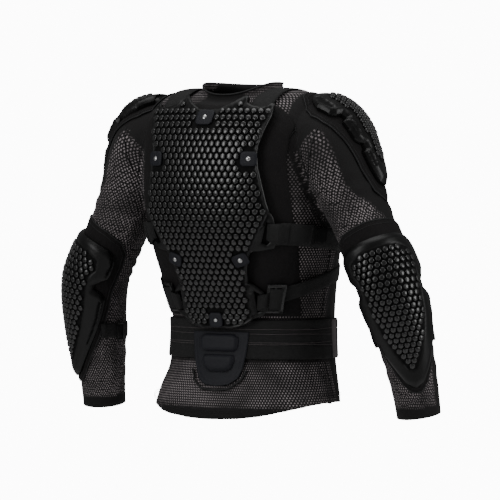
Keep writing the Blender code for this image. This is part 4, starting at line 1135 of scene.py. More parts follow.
def settled(outline, place, under, over, spacing, scale, bevel=0.0, holes=(), points_in=None):
    """Points, faces and plan places of a finely divided body seated on the surface."""
    size = np.array(scale)
    loops = []
    for loop in (outline,) + tuple(holes):
        facing = -1.0 if loops else 1.0
        metric = [tuple(np.array(p) * size) for p in spaced(loop, spacing, scale, facing)]
        area = sum(a[0] * b[1] - b[0] * a[1] for a, b in zip(metric, metric[1:] + metric[:1]))
        loops.append(metric if (area > 0) == (len(loops) == 0) else metric[::-1])
    ring = []
    for depth in (bevel * 0.35, bevel):
        if bevel > 0:
            fresh = []
            for loop in loops:
                plan = np.array(loop)
                ahead = np.roll(plan, -1, axis=0) - np.roll(plan, 1, axis=0)
                left = np.stack([-ahead[:, 1], ahead[:, 0]], axis=1)
                left /= np.maximum(np.linalg.norm(left, axis=1), 1e-9)[:, None]
                fresh += [tuple(point) for point in plan + left * depth]
            near = np.min([edge_distance(fresh, loop) for loop in loops], axis=0)
            ring += [p for p, d in zip(fresh, near) if d > 0.9 * depth]
    extra = ring + away_from(lattice(loops[0], spacing, spacing * 0.5), loops[1:], ring, spacing * 0.5)
    if points_in:
        extra += points_in
    points = []
    faces = []
    uvs = []
    low_extra = away_from(lattice(loops[0], spacing * 2, spacing), loops[1:], [], spacing)
    step = 0
    for spots, heights, upper in ((low_extra, under, False), (extra, over, True)):
        made, chosen = plan_triangles(loops, spots)
        depth = np.min([edge_distance(made, loop) for loop in loops], axis=0)
        first = len(points)
        for spot, away in zip(made, depth):
            base, normal = place(spot[0] / scale[0], spot[1] / scale[1])
            points.append(base + normal * heights(spot[0], spot[1], float(away)))
            uvs.append(spot)
        faces += [tuple(i + first for i in (face if upper else reversed(face))) for face in chosen]
        if not upper:
            step = len(points)
    start = 0
    for loop in loops:
        count = len(loop)
        for index in range(count):
            a = start + index
            b = start + (index + 1) % count
            faces.append((a, b, b + step, a + step))
        start += count
    points, faces = outward(points, faces)
    return points, faces, uvs


def dense_stations(rows, count):
    """The strap's stations, evenly spread and smoothly joined."""
    flat_rows = [(a[0], a[1], b[0], b[1], lift) for a, b, lift in rows]
    fine = smooth_rows(flat_rows, count)
    return [((r[0], r[1]), (r[2], r[3]), r[4]) for r in fine]


def strap_body(rows, place, thickness, across=7, per_gap=8, round_edge=0.35):
    """A strap with a slightly rounded section, with its length and width as texture places."""
    stations = dense_stations(rows, per_gap)
    points = []
    uvs = []
    travelled = 0.0
    last = None
    order = list(range(across)) + list(range(across - 1, -1, -1))
    for a_end, b_end, lift in stations:
        middle = place((a_end[0] + b_end[0]) / 2, (a_end[1] + b_end[1]) / 2)[0]
        if last is not None:
            travelled += (middle - last).length
        last = middle
        for position, index in enumerate(order):
            t = index / (across - 1)
            spot = [a + (b - a) * t for a, b in zip(a_end, b_end)]
            base, normal = place(*spot)
            edge = abs(2 * t - 1) ** 6
            upper = position >= across
            height = lift + (thickness * (1 - round_edge * edge) if upper else thickness * round_edge * edge)
            points.append(base + normal * height)
            uvs.append((travelled, t * 0.04))
    per = 2 * across
    faces = []
    for row in range(len(stations) - 1):
        a = row * per
        b = a + per
        for i in range(per):
            nxt = (i + 1) % per
            faces.append((a + i, a + nxt, b + nxt, b + i))
    faces.append(tuple(range(per)))
    end = (len(stations) - 1) * per
    faces.append(tuple(reversed(range(end, end + per))))
    points, faces = outward([Vector(p) for p in points], faces)
    return points, faces, uvs


def stud_body(places, radius, height, sides=12, squeeze=1.0):
    """Joined rounded studs: each place gives a base point, normal and the way up on the surface."""
    levels = ((1.0, -0.12), (0.975, 0.62), (0.89, 0.90), (0.68, 0.99))
    points = []
    faces = []
    for base, normal, up in places:
        side = up.cross(normal).normalized()
        first = len(points)
        for share, rise in levels:
            for index in range(sides):
                turn = 2 * math.pi * index / sides
                lobe = 1.0 + 0.045 * math.cos(6 * (turn - math.pi / 2))
                way = side * (math.cos(turn) * squeeze) + up * math.sin(turn)
                points.append(base + way * (radius * share * lobe) + normal * (height * rise))
        points.append(base + normal * height)
        for row in range(len(levels) - 1):
            for index in range(sides):
                nxt = (index + 1) % sides
                a = first + row * sides
                faces.append((a + index, a + nxt, a + sides + nxt, a + sides + index))
        top = first + (len(levels) - 1) * sides
        for index in range(sides):
            faces.append((top + index, top + (index + 1) % sides, len(points) - 1))
    return points, faces


def on_surface(place, spot, scale, height):
    """Base point, normal and the way up for a stud at a plan position in metres."""
    u = spot[0] / scale[0]
    w = spot[1] / scale[1]
    base, normal = place(u, w)
    above = place(u, w + 0.004 / scale[1])[0]
    up = above - base
    up = (up - normal * up.dot(normal)).normalized()
    return base + normal * height, normal, up


def tube(path, radius, sides=6, closed=False):
    """A thin round cord through the points of a path."""
    points = []
    faces = []
    count = len(path)
    for index, spot in enumerate(path):
        ahead = path[(index + 1) % count] if closed or index < count - 1 else spot
        behind = path[index - 1] if closed or index > 0 else spot
        way = (ahead - behind).normalized()
        helper = Vector((0.0, 0.0, 1.0)) if abs(way.z) < 0.9 else Vector((1.0, 0.0, 0.0))
        side = way.cross(helper).normalized()
        up = side.cross(way)
        for corner in range(sides):
            turn = 2 * math.pi * corner / sides
            points.append(spot + side * (radius * math.cos(turn)) + up * (radius * math.sin(turn)))
    rows = count if closed else count - 1
    for row in range(rows):
        for corner in range(sides):
            nxt = (corner + 1) % sides
            a = row * sides
            b = ((row + 1) % count) * sides
            faces.append((a + corner, b + corner, b + nxt, a + nxt))
    if not closed:
        faces.append(tuple(range(sides)))
        faces.append(tuple(reversed(range((count - 1) * sides, count * sides))))
    return outward(points, faces)


def joined(bodies):
    """Several bodies' points and faces as one."""
    points = []
    faces = []
    for body in bodies:
        first = len(points)
        points += list(body[0])
        faces += [tuple(i + first for i in face) for face in body[1]]
    return points, faces


def plan_path(spots, place, lift, spacing):
    """Points on the surface along straight plan lines between the spots."""
    path = []
    for a, b in zip(spots, spots[1:]):
        start = place(*a)[0]
        end = place(*b)[0]
        parts = max(1, int((end - start).length / spacing))
        for step in range(parts):
            t = step / parts
            base, normal = place(a[0] + (b[0] - a[0]) * t, a[1] + (b[1] - a[1]) * t)
            path.append(base + normal * lift)
    base, normal = place(*spots[-1])
    path.append(base + normal * lift)
    return path


def stitch_line(path, normal_of, length=0.0024, gap=0.0016, radius=0.00032):
    """Short stitches along a path."""
    bodies = []
    travelled = 0.0
    start = None
    for a, b in zip(path, path[1:]):
        span = (b - a).length
        at = 0.0
        while at < span:
            phase = (travelled + at) % (length + gap)
            if phase < length and start is None:
                start = a + (b - a) * (at / span)
            if phase >= length and start is not None:
                finish = a + (b - a) * (at / span)
                bodies.append(tube([start, finish], radius, 4))
                start = None
            at += 0.0004
        travelled += span
    return joined(bodies)


def mark(obj, slot, *nodes):
    """The piece stands for CAD nodes and moves with the jacket."""
    if nodes:
        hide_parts(*nodes)
    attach(obj, "root")


def mark_pair(pair, slot, base):
    """Both sides of a mirrored piece."""
    for obj, side in zip(pair, ("_left", "_right")):
        if base:
            mark(obj, slot, base + side)
        else:
            mark(obj, slot)


def set_recess_shade(obj, depth, low, high):
    """Mark how deep in a recessed field each point lies, as the mask for the painted shade there."""
    layer = obj.data.attributes.new("recess_shade_mask", "FLOAT", "POINT")
    layer.data.foreach_set("value", soft_step(np.array(depth), low, high).astype(np.float32))


def field_depth(uvs, loops):
    """How far inside one of the loops each plan point lies, negative outside."""
    deepest = np.full(len(uvs), -1.0)
    for loop in loops:
        depth = edge_distance(uvs, loop)
        deepest = np.maximum(deepest, np.where(inside(uvs, loop), depth, -depth))
    return deepest


def plate_top(x, z, away):
    """Top of the back plate between the studs, with its raised rounded rim."""
    share = z / JACKET_HEIGHT
    rows = np.array(FIELD_EDGE)
    edge = float(np.interp(share, rows[:, 0], rows[:, 1])) * HALF_WIDTH
    if abs(x) > edge + 0.0015:
        return WING_TOP - 0.0015 * (1 - min(1.0, away / 0.0015))
    gap = max(0.0, edge - abs(x))
    depth = min(away, gap + 0.001)
    if depth < 0.0012:
        return PLATE_RIM - 0.0012 + 0.0012 * math.sin(depth / 0.0012 * math.pi / 2)
    if depth < 0.0034:
        return PLATE_RIM
    return PLATE_RIM - (PLATE_RIM - PLATE_FIELD) * min(1.0, (depth - 0.0034) / 0.0008)


def plate_stud_spots(loop):
    """Plan places of the plate's studs."""
    centres = lattice(loop, STUD_PITCH, 0.0055)
    rows = np.array(FIELD_EDGE)
    edge = HALF_WIDTH * np.interp([w / JACKET_HEIGHT for u, w in centres], rows[:, 0], rows[:, 1])
    keep = np.abs(np.array(centres)[:, 0]) < edge - STUD_MARGIN
    for tab in TABS:
        outline = [(x * HALF_WIDTH, share * JACKET_HEIGHT) for x, share in tab_outline(tab, 0.0045)]
        keep &= ~inside(centres, outline)
        keep &= ~inside(centres, [(-x, z) for x, z in outline])
    return [point for point, kept in zip(centres, keep) if kept]


def make_plate(tree, shell_stuff, stud_stuff, navy, silver, cloth):
    """Back panel, plate, studs, tabs and rivets."""
    place = from_behind(tree, 1.0)
    scale = (HALF_WIDTH, JACKET_HEIGHT)
    points, faces, uvs = settled(whole_outline(PANEL_EDGE), place, flat(SEAT),
                                 domed(0.0022, PANEL_TOP, 0.004), 0.007, scale, bevel=0.003)
    panel = add_object("panel_behind_plate", points, faces, cloth)
    mark(panel, "smooth_cloth", "back_panel")
    mirror_slots = [[(-x, h) for x, h in slot] for slot in (WING_SLOT, LUG_SLOT)]
    points, faces, uvs = settled(whole_outline(PLATE_EDGE), place, flat(PLATE_UNDER), plate_top, 0.0045,
                                 scale, bevel=0.0034, holes=(WING_SLOT, LUG_SLOT, *mirror_slots))
    loop = [(x * HALF_WIDTH, z * JACKET_HEIGHT) for x, z in whole_outline(PLATE_EDGE)]
    plate = add_object("plate_shell", points, faces, shell_stuff)
    edge = np.array([(half * HALF_WIDTH, share * JACKET_HEIGHT) for share, half in FIELD_EDGE])
    away = edge_distance(uvs, loop)
    gap = np.interp(np.array(uvs)[:, 1], edge[:, 1], edge[:, 0]) - np.abs(np.array(uvs)[:, 0])
    # the whole stud field between the studs gets painted shade
    set_recess_shade(plate, np.minimum(away, gap), 0.0034, 0.0050)
    sharp_by_angle(plate, 40)
    mark(plate, "plastic", "back_plate")
    spots = plate_stud_spots(loop)
    places = [on_surface(place, spot, scale, PLATE_FIELD) for spot in spots]
    studs = add_object("plate_studs", *stud_body(places, STUD_RADIUS, STUD_HEIGHT), stud_stuff)
    mark(studs, "plastic")
    print("plate studs", len(spots))
    for tab in TABS:
        name, out, share, half_out, half_up, lean = tab
        low = PLATE_RIM + 2 * GAP
        points, faces, uvs = settled(tab_outline(tab), place, flat(low - 0.0012),
                                     domed(low + TAB_THICK * 0.5, low + TAB_THICK, 0.0014), 0.003, scale,
                                     bevel=0.0012)
        rivet = [(out + RIVET_RADIUS * math.cos(math.radians(a)) / HALF_WIDTH,
                  share + RIVET_RADIUS * math.sin(math.radians(a)) / JACKET_HEIGHT)
                 for a in range(0, 360, 15)]
        base = low + TAB_THICK
        head = settled(rivet, place, flat(base), domed(base + 0.0003, base + 0.0017, 0.0030), 0.0012,
                       scale, bevel=0.0010)
        if out == 0.0:
            mark(add_object("plate_tab_" + name, points, faces, navy), "navy", "tab_" + name)
            mark(add_object("plate_rivet_" + name, head[0], head[1], silver), "metal", "rivet_" + name)
        else:
            mark_pair(add_pair("plate_tab_" + name, points, faces, navy), "navy", "tab_" + name)
            mark_pair(add_pair("plate_rivet_" + name, head[0], head[1], silver), "metal",
                      "rivet_" + name)
        for obj in bpy.data.objects:
            if obj.name.startswith("plate_tab_" + name):
                sharp_by_angle(obj, 45)


def belt_relief(share, angle):
    """Height of the belt's strips and the grooves between them."""
    t = (share - 0.180) / 0.120
    sway = 0.012 * math.sin(math.radians(angle * 3 + 20)) + 0.008 * math.sin(math.radians(angle * 7))
    height = BELT_THICK
    for groove in (0.36 + sway, 0.43 - sway * 0.6, 0.64 + sway * 0.8, 0.76 - sway):
        height -= 0.0010 * math.exp(-((t - groove) / 0.018) ** 2)
    return height + 0.0003 * math.sin(math.radians(angle) * 40 + 5 * t)


def make_belt(tree, stuff, line_stuff):
    """Elastic belt with its strips."""
    place = round_body(tree)
    count = 240
    rows = 40
    points = []
    uvs = []
    for index in range(count):
        angle = 360.0 * index / count
        away = abs((angle + 270.0) % 360.0 - 180.0)
        seat = BELT_SEAT + 0.0030 * max(0.0, min(1.0, (16.0 - away) / 8.0))
        for inner in (True, False):
            for row in range(rows):
                t = row / (rows - 1)
                share = 0.180 + 0.120 * t
                base, normal = place(angle, share)
                edge = 1.0 - 0.5 * abs(2 * t - 1) ** 16
                lift = seat if inner else seat + belt_relief(share, angle) * edge
                points.append(base + normal * lift)
                uvs.append((math.radians(angle) * 0.15, share * JACKET_HEIGHT))
    faces = []
    per = 2 * rows
    for index in range(count):
        a = index * per
        b = ((index + 1) % count) * per
        for row in range(rows - 1):
            faces.append((a + row, a + row + 1, b + row + 1, b + row))
            faces.append((a + rows + row, b + rows + row, b + rows + row + 1, a + rows + row + 1))
        faces.append((a, b, b + rows, a + rows))
        faces.append((a + rows - 1, a + per - 1, b + per - 1, b + rows - 1))
    points, faces = outward(points, faces)
    belt = add_object("waist_belt", points, faces, stuff)
    set_uvs(belt, uvs)
    mark(belt, "webbing", "kidney_belt")
    bodies = []
    for share, sway in ((0.224, 0.0016), (0.231, -0.0012), (0.256, 0.0014), (0.272, -0.0016)):
        path = []
        for index in range(180):
            angle = 2.0 * index
            wave = math.sin(math.radians(angle * 3 + 20)) + 0.6 * math.sin(math.radians(angle * 7))
            base, normal = place(angle, share + sway * wave)
            away = abs((angle + 270.0) % 360.0 - 180.0)
            seat = BELT_SEAT + 0.0030 * max(0.0, min(1.0, (16.0 - away) / 8.0))
            path.append(base + normal * (seat + BELT_THICK - 0.0001))
        bodies.append(tube(path, 0.00055, 5, closed=True))
    mark(add_object("belt_lines", *joined(bodies), line_stuff), "webbing")
    rows = [((a, 0.300), (a, 0.180), BELT_SEAT + BELT_THICK - 0.0006) for a in (-9.0, -11.0, -13.0, -15.0)]
    points, faces, uvs = strap_body(rows, place, 0.0022, per_gap=3)
    mark_pair(add_pair("belt_end_trim", points, faces, line_stuff, uvs), "webbing", None)


def make_lumbar(tree, navy, thread):
    """Navy panel with piping and two soft pads."""
    place = from_behind(tree, 1.0)
    scale = (HALF_WIDTH, JACKET_HEIGHT)
    over_belt = BELT_SEAT + BELT_THICK + 0.0006

    def under(x, z, away):
        share = z / JACKET_HEIGHT
        return over_belt if share > 0.172 else max(SEAT, over_belt - (0.172 - share) * 0.12)

    def over(x, z, away):
        groove = 0.0007 * math.exp(-((away - 0.0055) / 0.0012) ** 2)
        return under(x, z, away) + 0.0022 * min(1.0, 0.5 + away / 0.002) - groove

    panel_edge = [(x * 1.16, 0.262 - (0.262 - share) * 0.93) for x, share in whole_outline(LUMBAR_EDGE)]
    rim = [(x, share) for x, share in shrunk(panel_edge, scale, -0.008) if share < 0.185]
    path = plan_path(rim, place, 0.0032, 0.004)
    mark(add_object("lumbar_rim", *tube(path, 0.0019, 8), thread), "smooth_cloth")
    points, faces, uvs = settled(panel_edge, place, under, over, 0.0022, scale,
                                 bevel=0.0016)
    panel = add_object("lumbar_cloth", points, faces, navy)
    mark(panel, "navy", "lumbar_panel")
    for name, edge in (("lumbar_pad_upper", UPPER_PAD_EDGE), ("lumbar_pad_lower", LOWER_PAD_EDGE)):
        def pad_over(x, z, away):
            return (under(x, z, away) + 0.0030
                    + 0.0056 * math.sin(min(1.0, away / 0.007) * math.pi / 2) ** 0.8)

        def pad_under(x, z, away):
            return under(x, z, away) + 0.0024
        loop = [(x * 1.24, share + 0.012) for x, share in whole_outline(edge)]
        points, faces, uvs = settled(loop, place, pad_under, pad_over, 0.0026, scale,
                                     bevel=0.0018)
        body = add_object(name.replace("pad", "cushion"), points, faces, navy)
        mark(body, "navy", name)
        grown = [(x * 1.10, share + (share - sum(p[1] for p in loop) / len(loop)) * 0.10)
                 for x, share in loop]
        path = plan_path(grown + grown[:1], place, over_belt + 0.0023 if "upper" in name else 0.0052,
                         0.003)
        stitches = stitch_line(path, None)
        mark(add_object("stitches_" + name, *stitches, thread), "navy")


def make_straps(tree, stuff, lock_stuff, patch):
    """Shoulder and side straps, the hook patch, and the ladder locks."""
    top = over_shoulder(tree)
    width = SHOULDER_STRAP_WIDTH / HALF_WIDTH
    rows = [((x, a), (x + width, a), lift * BAR_LIFT) for x, a, lift in SHOULDER_STRAP]
    points, faces, uvs = strap_body(rows, top, STRAP_THICK, per_gap=6)
    pair = add_pair("strap_over_shoulder", points, faces, stuff, uvs)
    mark_pair(pair, "webbing", "shoulder_strap")
    side = round_body(tree)
    for name, table, size in (("upper_side_strap", UPPER_SIDE_STRAP, (0.36, 0.037)),
                              ("lower_side_strap", LOWER_SIDE_STRAP, (0.35, 0.029))):
        rows = [((a, high), (a, low), lift * BAR_LIFT) for a, high, low, lift in table]
        points, faces, uvs = strap_body(rows, side, STRAP_THICK, per_gap=6)
        pair = add_pair("webbing_" + name, points, faces, stuff, uvs)
        mark_pair(pair, "webbing", name)
    rows = [((a, 0.5915), (a, 0.5315), 0.0078) for a in (33.0, 30.0, 27.0, 24.0, 21.0)]
    points, faces, uvs = strap_body(rows, side, 0.0016, per_gap=3)
    mark_pair(add_pair("strap_fold", points, faces, stuff, uvs), "webbing", None)
    rows = [((a, 0.581), (a, 0.534), 0.0074) for a in (18.5, 16.0, 13.5, 11.0)]
    points, faces, uvs = strap_body(rows, side, 0.0012, per_gap=3)
    mark_pair(add_pair("hook_patch", points, faces, patch, uvs), "webbing", None)
    bodies = []
    for a, b, low, high, lift, thick in ((42.0, 40.4, 0.330, 0.408, 0.0085, 0.0032),
                                         (37.0, 35.8, 0.330, 0.408, 0.0090, 0.0026),
                                         (32.6, 30.2, 0.324, 0.412, 0.0082, 0.0048),
                                         (42.0, 30.2, 0.402, 0.412, 0.0082, 0.0032),
                                         (42.0, 30.2, 0.324, 0.334, 0.0082, 0.0032)):
        rows = [((x, high), (x, low), lift) for x in np.linspace(a, b, 3)]
        points, faces, uvs = strap_body(rows, side, thick, across=5, per_gap=3, round_edge=0.3)
        bodies.append((points, faces))
    mark_pair(add_pair("ladder_lock", *joined(bodies), lock_stuff), "plastic", "side_buckle")
    rows = [((a, 0.401), (a, 0.335), lift) for a, lift in ((40.5, 0.0088), (38.5, 0.0118),
                                                          (33.5, 0.0125), (31.0, 0.0105))]
    points, faces, uvs = strap_body(rows, side, 0.0018, per_gap=4)
    mark_pair(add_pair("strap_through_lock", points, faces, stuff, uvs), "webbing", None)


def in_loop(x, z, loop):
    """Whether one plan point lies in a loop, and how far from its edge."""
    spot = [(x, z)]
    depth = float(edge_distance(spot, loop)[0])
    return bool(inside(spot, loop)[0]), depth


def guard_body(edge, place, scale, field, windows, spacing, under, low, high, bevel):
    """Hard guard with a sunken stud field and sunken side windows."""
    def over(x, z, away):
        height = low + (high - low) * math.sin(min(1.0, away / bevel) * math.pi / 2)
        inner, depth = in_loop(x, z, field)
        if inner:
            height -= 0.0016 * min(1.0, depth / 0.0015)
        for window in windows:
            inner, depth = in_loop(x, z, window)
            if inner:
                height -= 0.0026 * min(1.0, depth / 0.0012)
        return height
    return settled(edge, place, flat(under), over, spacing, scale, bevel=bevel * 0.3)


def stud_places(field, place, scale, pitch, margin, height):
    """Studs that fill a field on a guard."""
    spots = lattice(field, pitch, margin)
    return [on_surface(place, spot, scale, height) for spot in spots]


def piping(edge, place, lift, radius, stuff, name, spacing=0.004):
    """A corded edge that follows an outline."""
    path = plan_path(list(edge) + [edge[0]], place, lift, spacing)
    body = tube(path[:-1], radius, 8, closed=True)
    mark_pair(add_pair(name, *body, stuff), "smooth_cloth", None)


def shrunk(loop, scale, by):
    """A loop in metres moved inward by a length."""
    plan = np.array([(u * scale[0], w * scale[1]) for u, w in loop])
    area = np.sum(plan[:, 0] * np.roll(plan[:, 1], -1) - np.roll(plan[:, 0], -1) * plan[:, 1])
    ahead = np.roll(plan, -1, axis=0) - np.roll(plan, 1, axis=0)
    left = np.stack([-ahead[:, 1], ahead[:, 0]], axis=1) * (1 if area > 0 else -1)
    left /= np.maximum(np.linalg.norm(left, axis=1), 1e-9)[:, None]
    return [(u / scale[0], w / scale[1]) for u, w in plan + left * by]


CAP_FIELD = (
    (6.0, 0.0), (8.0, 12.0), (16.0, 17.0), (34.0, 17.0), (60.0, 13.0), (86.0, 8.0), (97.0, 3.0),
    (98.0, 0.0),
)
CAP_WINDOWS = (
    ((3.0, 20.5), (11.0, 28.0), (26.0, 28.5), (29.5, 26.0), (24.0, 24.5), (13.0, 22.5), (5.0, 17.0)),
    ((48.5, 21.8), (50.0, 24.2), (66.0, 21.6), (67.5, 19.4), (65.0, 18.6), (50.0, 20.2)),
    ((83.5, 13.2), (86.0, 15.2), (99.0, 10.4), (101.5, 8.0), (98.0, 7.8), (86.0, 11.4)),
)
GUARD_FIELD = (
    (0.0, 0.505), (30.0, 0.500), (56.0, 0.485), (60.0, 0.455), (52.0, 0.425), (50.0, 0.380),
    (46.0, 0.320), (36.0, 0.260), (22.0, 0.200), (8.0, 0.160), (0.0, 0.155),
)
GUARD_WINDOWS = (
    ((74.0, 0.505), (80.0, 0.505), (83.0, 0.485), (81.0, 0.450), (76.0, 0.452), (77.0, 0.480)),
    ((72.0, 0.362), (76.0, 0.352), (70.0, 0.300), (58.0, 0.248), (46.0, 0.212), (43.0, 0.216),
     (55.0, 0.258), (65.0, 0.305)),
)


def both_ways(loop):
    """A loop and its mirror image about the middle of the guard."""
    return [list(loop), [(-u, w) for u, w in loop]]


def make_shoulders(tree, cloth, shell_stuff, stud_stuff, thread):
    """Piped base and studded cap on each shoulder."""
    place = round_shoulder(tree)
    scale = (math.radians(CAP_RADIUS), math.radians(CAP_RADIUS))

    def swapped(edge):
        half = [(back, down) for down, back in edge]
        return [(down, back) for back, down in whole_outline(half)]

    def metric(edge):
        return [(u * scale[0], w * scale[1]) for u, w in edge]
    base_edge = swapped(CAP_BASE_EDGE)
    points, faces, uvs = settled(base_edge, place, flat(SEAT), domed(0.0020, ARM_BASE_TOP, 0.004), 0.005,
                                 scale, bevel=0.003)
    pair = add_pair("shoulder_cloth", points, faces, cloth)
    mark_pair(pair, "smooth_cloth", "shoulder_base")
    piping(base_edge, place, 0.0022, 0.0016, thread, "shoulder_piping")
    inner = shrunk(base_edge, scale, 0.006)
    piping(inner, place, ARM_BASE_TOP, 0.0006, thread, "shoulder_seam")
    field = metric(swapped(CAP_FIELD))
    windows = []
    for window in CAP_WINDOWS:
        windows.append(metric(window))
        windows.append(metric([(down, -back) for down, back in window]))
    points, faces, uvs = guard_body(swapped(CAP_EDGE), place, scale, field, windows, 0.0024,
                                    GUARD_UNDER, 0.0105, 0.0178, 0.010)
    depth = field_depth(uvs, [field, *windows])
    pair = add_pair("cap_shell", points, faces, shell_stuff)
    for obj in pair:
        sharp_by_angle(obj, 40)
        set_recess_shade(obj, depth, 0.0002, 0.0014)
    mark_pair(pair, "plastic", "shoulder_cap")
    places = stud_places(field, place, scale, GUARD_STUD_PITCH, 0.0040, 0.0158)
    body = stud_body(places, GUARD_STUD_RADIUS, 0.0046)
    mark_pair(add_pair("cap_studs", *body, stud_stuff), "plastic", None)
    print("cap studs", len(places))


def make_elbows(cloth, shell_stuff, stud_stuff, thread, strap_stuff):
    """Piped base, studded guard, strap and buckle on each arm."""
    place = round_arm()
    scale = (math.radians(ARM_RADIUS + 0.008), JACKET_HEIGHT)

    def metric(edge):
        return [(u * scale[0], w * scale[1]) for u, w in edge]
    base_edge = whole_outline(GUARD_BASE_EDGE)
    points, faces, uvs = settled(base_edge, place, flat(SEAT), domed(0.0020, ARM_BASE_TOP, 0.004), 0.005,
                                 scale, bevel=0.003)
    pair = add_pair("elbow_cloth", points, faces, cloth)
    mark_pair(pair, "smooth_cloth", "elbow_base")
    piping(base_edge, place, 0.0022, 0.0015, thread, "elbow_piping")
    inner = shrunk(base_edge, scale, 0.007)
    piping(inner, place, ARM_BASE_TOP, 0.0006, thread, "elbow_seam")
    field = metric(whole_outline(GUARD_FIELD))
    windows = [metric(loop) for window in GUARD_WINDOWS for loop in both_ways(window)]
    points, faces, uvs = guard_body(whole_outline(GUARD_EDGE), place, scale, field, windows, 0.0024,
                                    GUARD_UNDER, 0.0080, 0.0132, 0.010)
    depth = field_depth(uvs, [field, *windows])
    pair = add_pair("guard_shell", points, faces, shell_stuff)
    for obj in pair:
        sharp_by_angle(obj, 40)
        set_recess_shade(obj, depth, 0.0002, 0.0014)
    mark_pair(pair, "plastic", "elbow_guard")
    places = stud_places(field, place, scale, GUARD_STUD_PITCH, 0.0042, 0.0114)
    body = stud_body(places, GUARD_STUD_RADIUS, 0.0044)
    mark_pair(add_pair("guard_studs", *body, stud_stuff), "plastic", None)
    print("guard studs", len(places))
    rows = []
    for angle in (74.0, 82.0, 90.0, 112.0, 135.0, 158.0, 180.0, 202.0, 225.0, 248.0, 270.0, 278.0,
                  286.0):
        lift = 0.0046 if min(angle, 360.0 - angle) < 84.0 else STRAP_SEAT * 2
        rows.append(((angle, 0.282), (angle, 0.236), lift))
    points, faces, uvs = strap_body(rows, place, STRAP_THICK, per_gap=5)
    pair = add_pair("strap_round_forearm", points, faces, strap_stuff, uvs)
    mark_pair(pair, "webbing", "forearm_strap")
    bodies = []
    for a, b, low, high in ((108.0, 111.0, 0.230, 0.288), (121.0, 124.0, 0.230, 0.288),
                            (108.0, 124.0, 0.281, 0.288), (108.0, 124.0, 0.230, 0.237)):
        rows = [((x, high), (x, low), 0.0036) for x in np.linspace(a, b, 4)]
        body = strap_body(rows, place, 0.0030, across=5, per_gap=2, round_edge=0.3)
        bodies.append(body[:2])
    mark_pair(add_pair("small_lock", *joined(bodies), shell_stuff), "plastic", "forearm_buckle")


def make_front(tree, shell_stuff):
    """Chest plates and zip."""
    place = from_behind(tree, -1.0)
    scale = (HALF_WIDTH, JACKET_HEIGHT)
    points, faces, uvs = settled(CHEST_EDGE, place, flat(0.0042), domed(0.0060, 0.0108, 0.010), 0.006,
                                 scale, bevel=0.004)
    mark_pair(add_pair("chest_shell", points, faces, shell_stuff), "plastic", "chest_plate")
    path = [share for share in np.linspace(0.040, 0.966, 120)]
    bodies = []
    for share in path:
        base, normal = place(0.0, share)
        bodies.append(strap_body([((-0.015, share - 0.0022), (0.015, share - 0.0022), 0.0022),
                                  ((-0.015, share), (0.015, share), 0.0022),
                                  ((-0.015, share + 0.0022), (0.015, share + 0.0022), 0.0022)],
                                 place, 0.0016, across=3, per_gap=1)[:2])
    rows = [((-0.031, share), (0.031, share), 0.0006) for share in np.linspace(0.036, 0.970, 40)]
    bodies.append(strap_body(rows, place, 0.0016, across=3, per_gap=2)[:2])
    mark(add_object("zip", *joined(bodies), shell_stuff), "plastic", "front_zip")


def make_seams(tree, full_tree, stuff):
    """Cords of the seams on body and shoulders, the hem and the collar edge."""
    back = from_behind(full_tree, 1.0)
    bodies = []
    for line in (((0.810, 0.880), (0.882, 0.800), (0.933, 0.730)),
                 ((1.051, 0.880), (1.005, 0.800), (0.944, 0.730)),
                 ((0.779, 0.852), (0.810, 0.870), (0.810, 0.880))):
        path = plan_path(line, back, 0.0012, 0.004)
        bodies.append(tube(path, SEAM_RADIUS, 6))
    side = round_body(tree)
    for line in (((4.0, 0.700), (3.0, 0.560), (1.0, 0.430), (0.0, 0.310)),
                 ((-2.0, 0.170), (-3.0, 0.060))):
        path = plan_path(line, side, 0.0012, 0.004)
        bodies.append(tube(path, SEAM_RADIUS, 6))
    pair = add_pair("seam_cords", *joined(bodies), stuff)
    mark_pair(pair, "cloth", None)
    bodies = []
    for rise in (0.012, 0.016):
        ring = body_rings(0.0, 200)[0]
        path = [p + Vector((p.x, p.y + 0.012, 0.0)).normalized() * 0.0008 + Vector((0, 0, rise))
                for p in ring]
        bodies.append(stitch_line(path + path[:1], None, 0.0030, 0.0012, 0.0004))
    mark(add_object("hem_stitches", *joined(bodies), stuff), "cloth")
    ring = body_rings(0.0, 120)[-1]
    path = [Vector((p.x, p.y, p.z + COLLAR_BAND)) for p in ring]
    mark(add_object("collar_edge", *tube(path, 0.0017, 8, closed=True), stuff), "cloth")


def area_light(name, place, aim, size, power):
    """A soft box light."""
    data = bpy.data.lights.new(name, "AREA")
    data.shape = "RECTANGLE"
    data.size, data.size_y = size
    data.energy = power
    obj = bpy.data.objects.new(name, data)
    bpy.context.scene.collection.objects.link(obj)
    obj.location = place
    obj.rotation_euler = (Vector(aim) - Vector(place)).to_track_quat("-Z", "Y").to_euler()


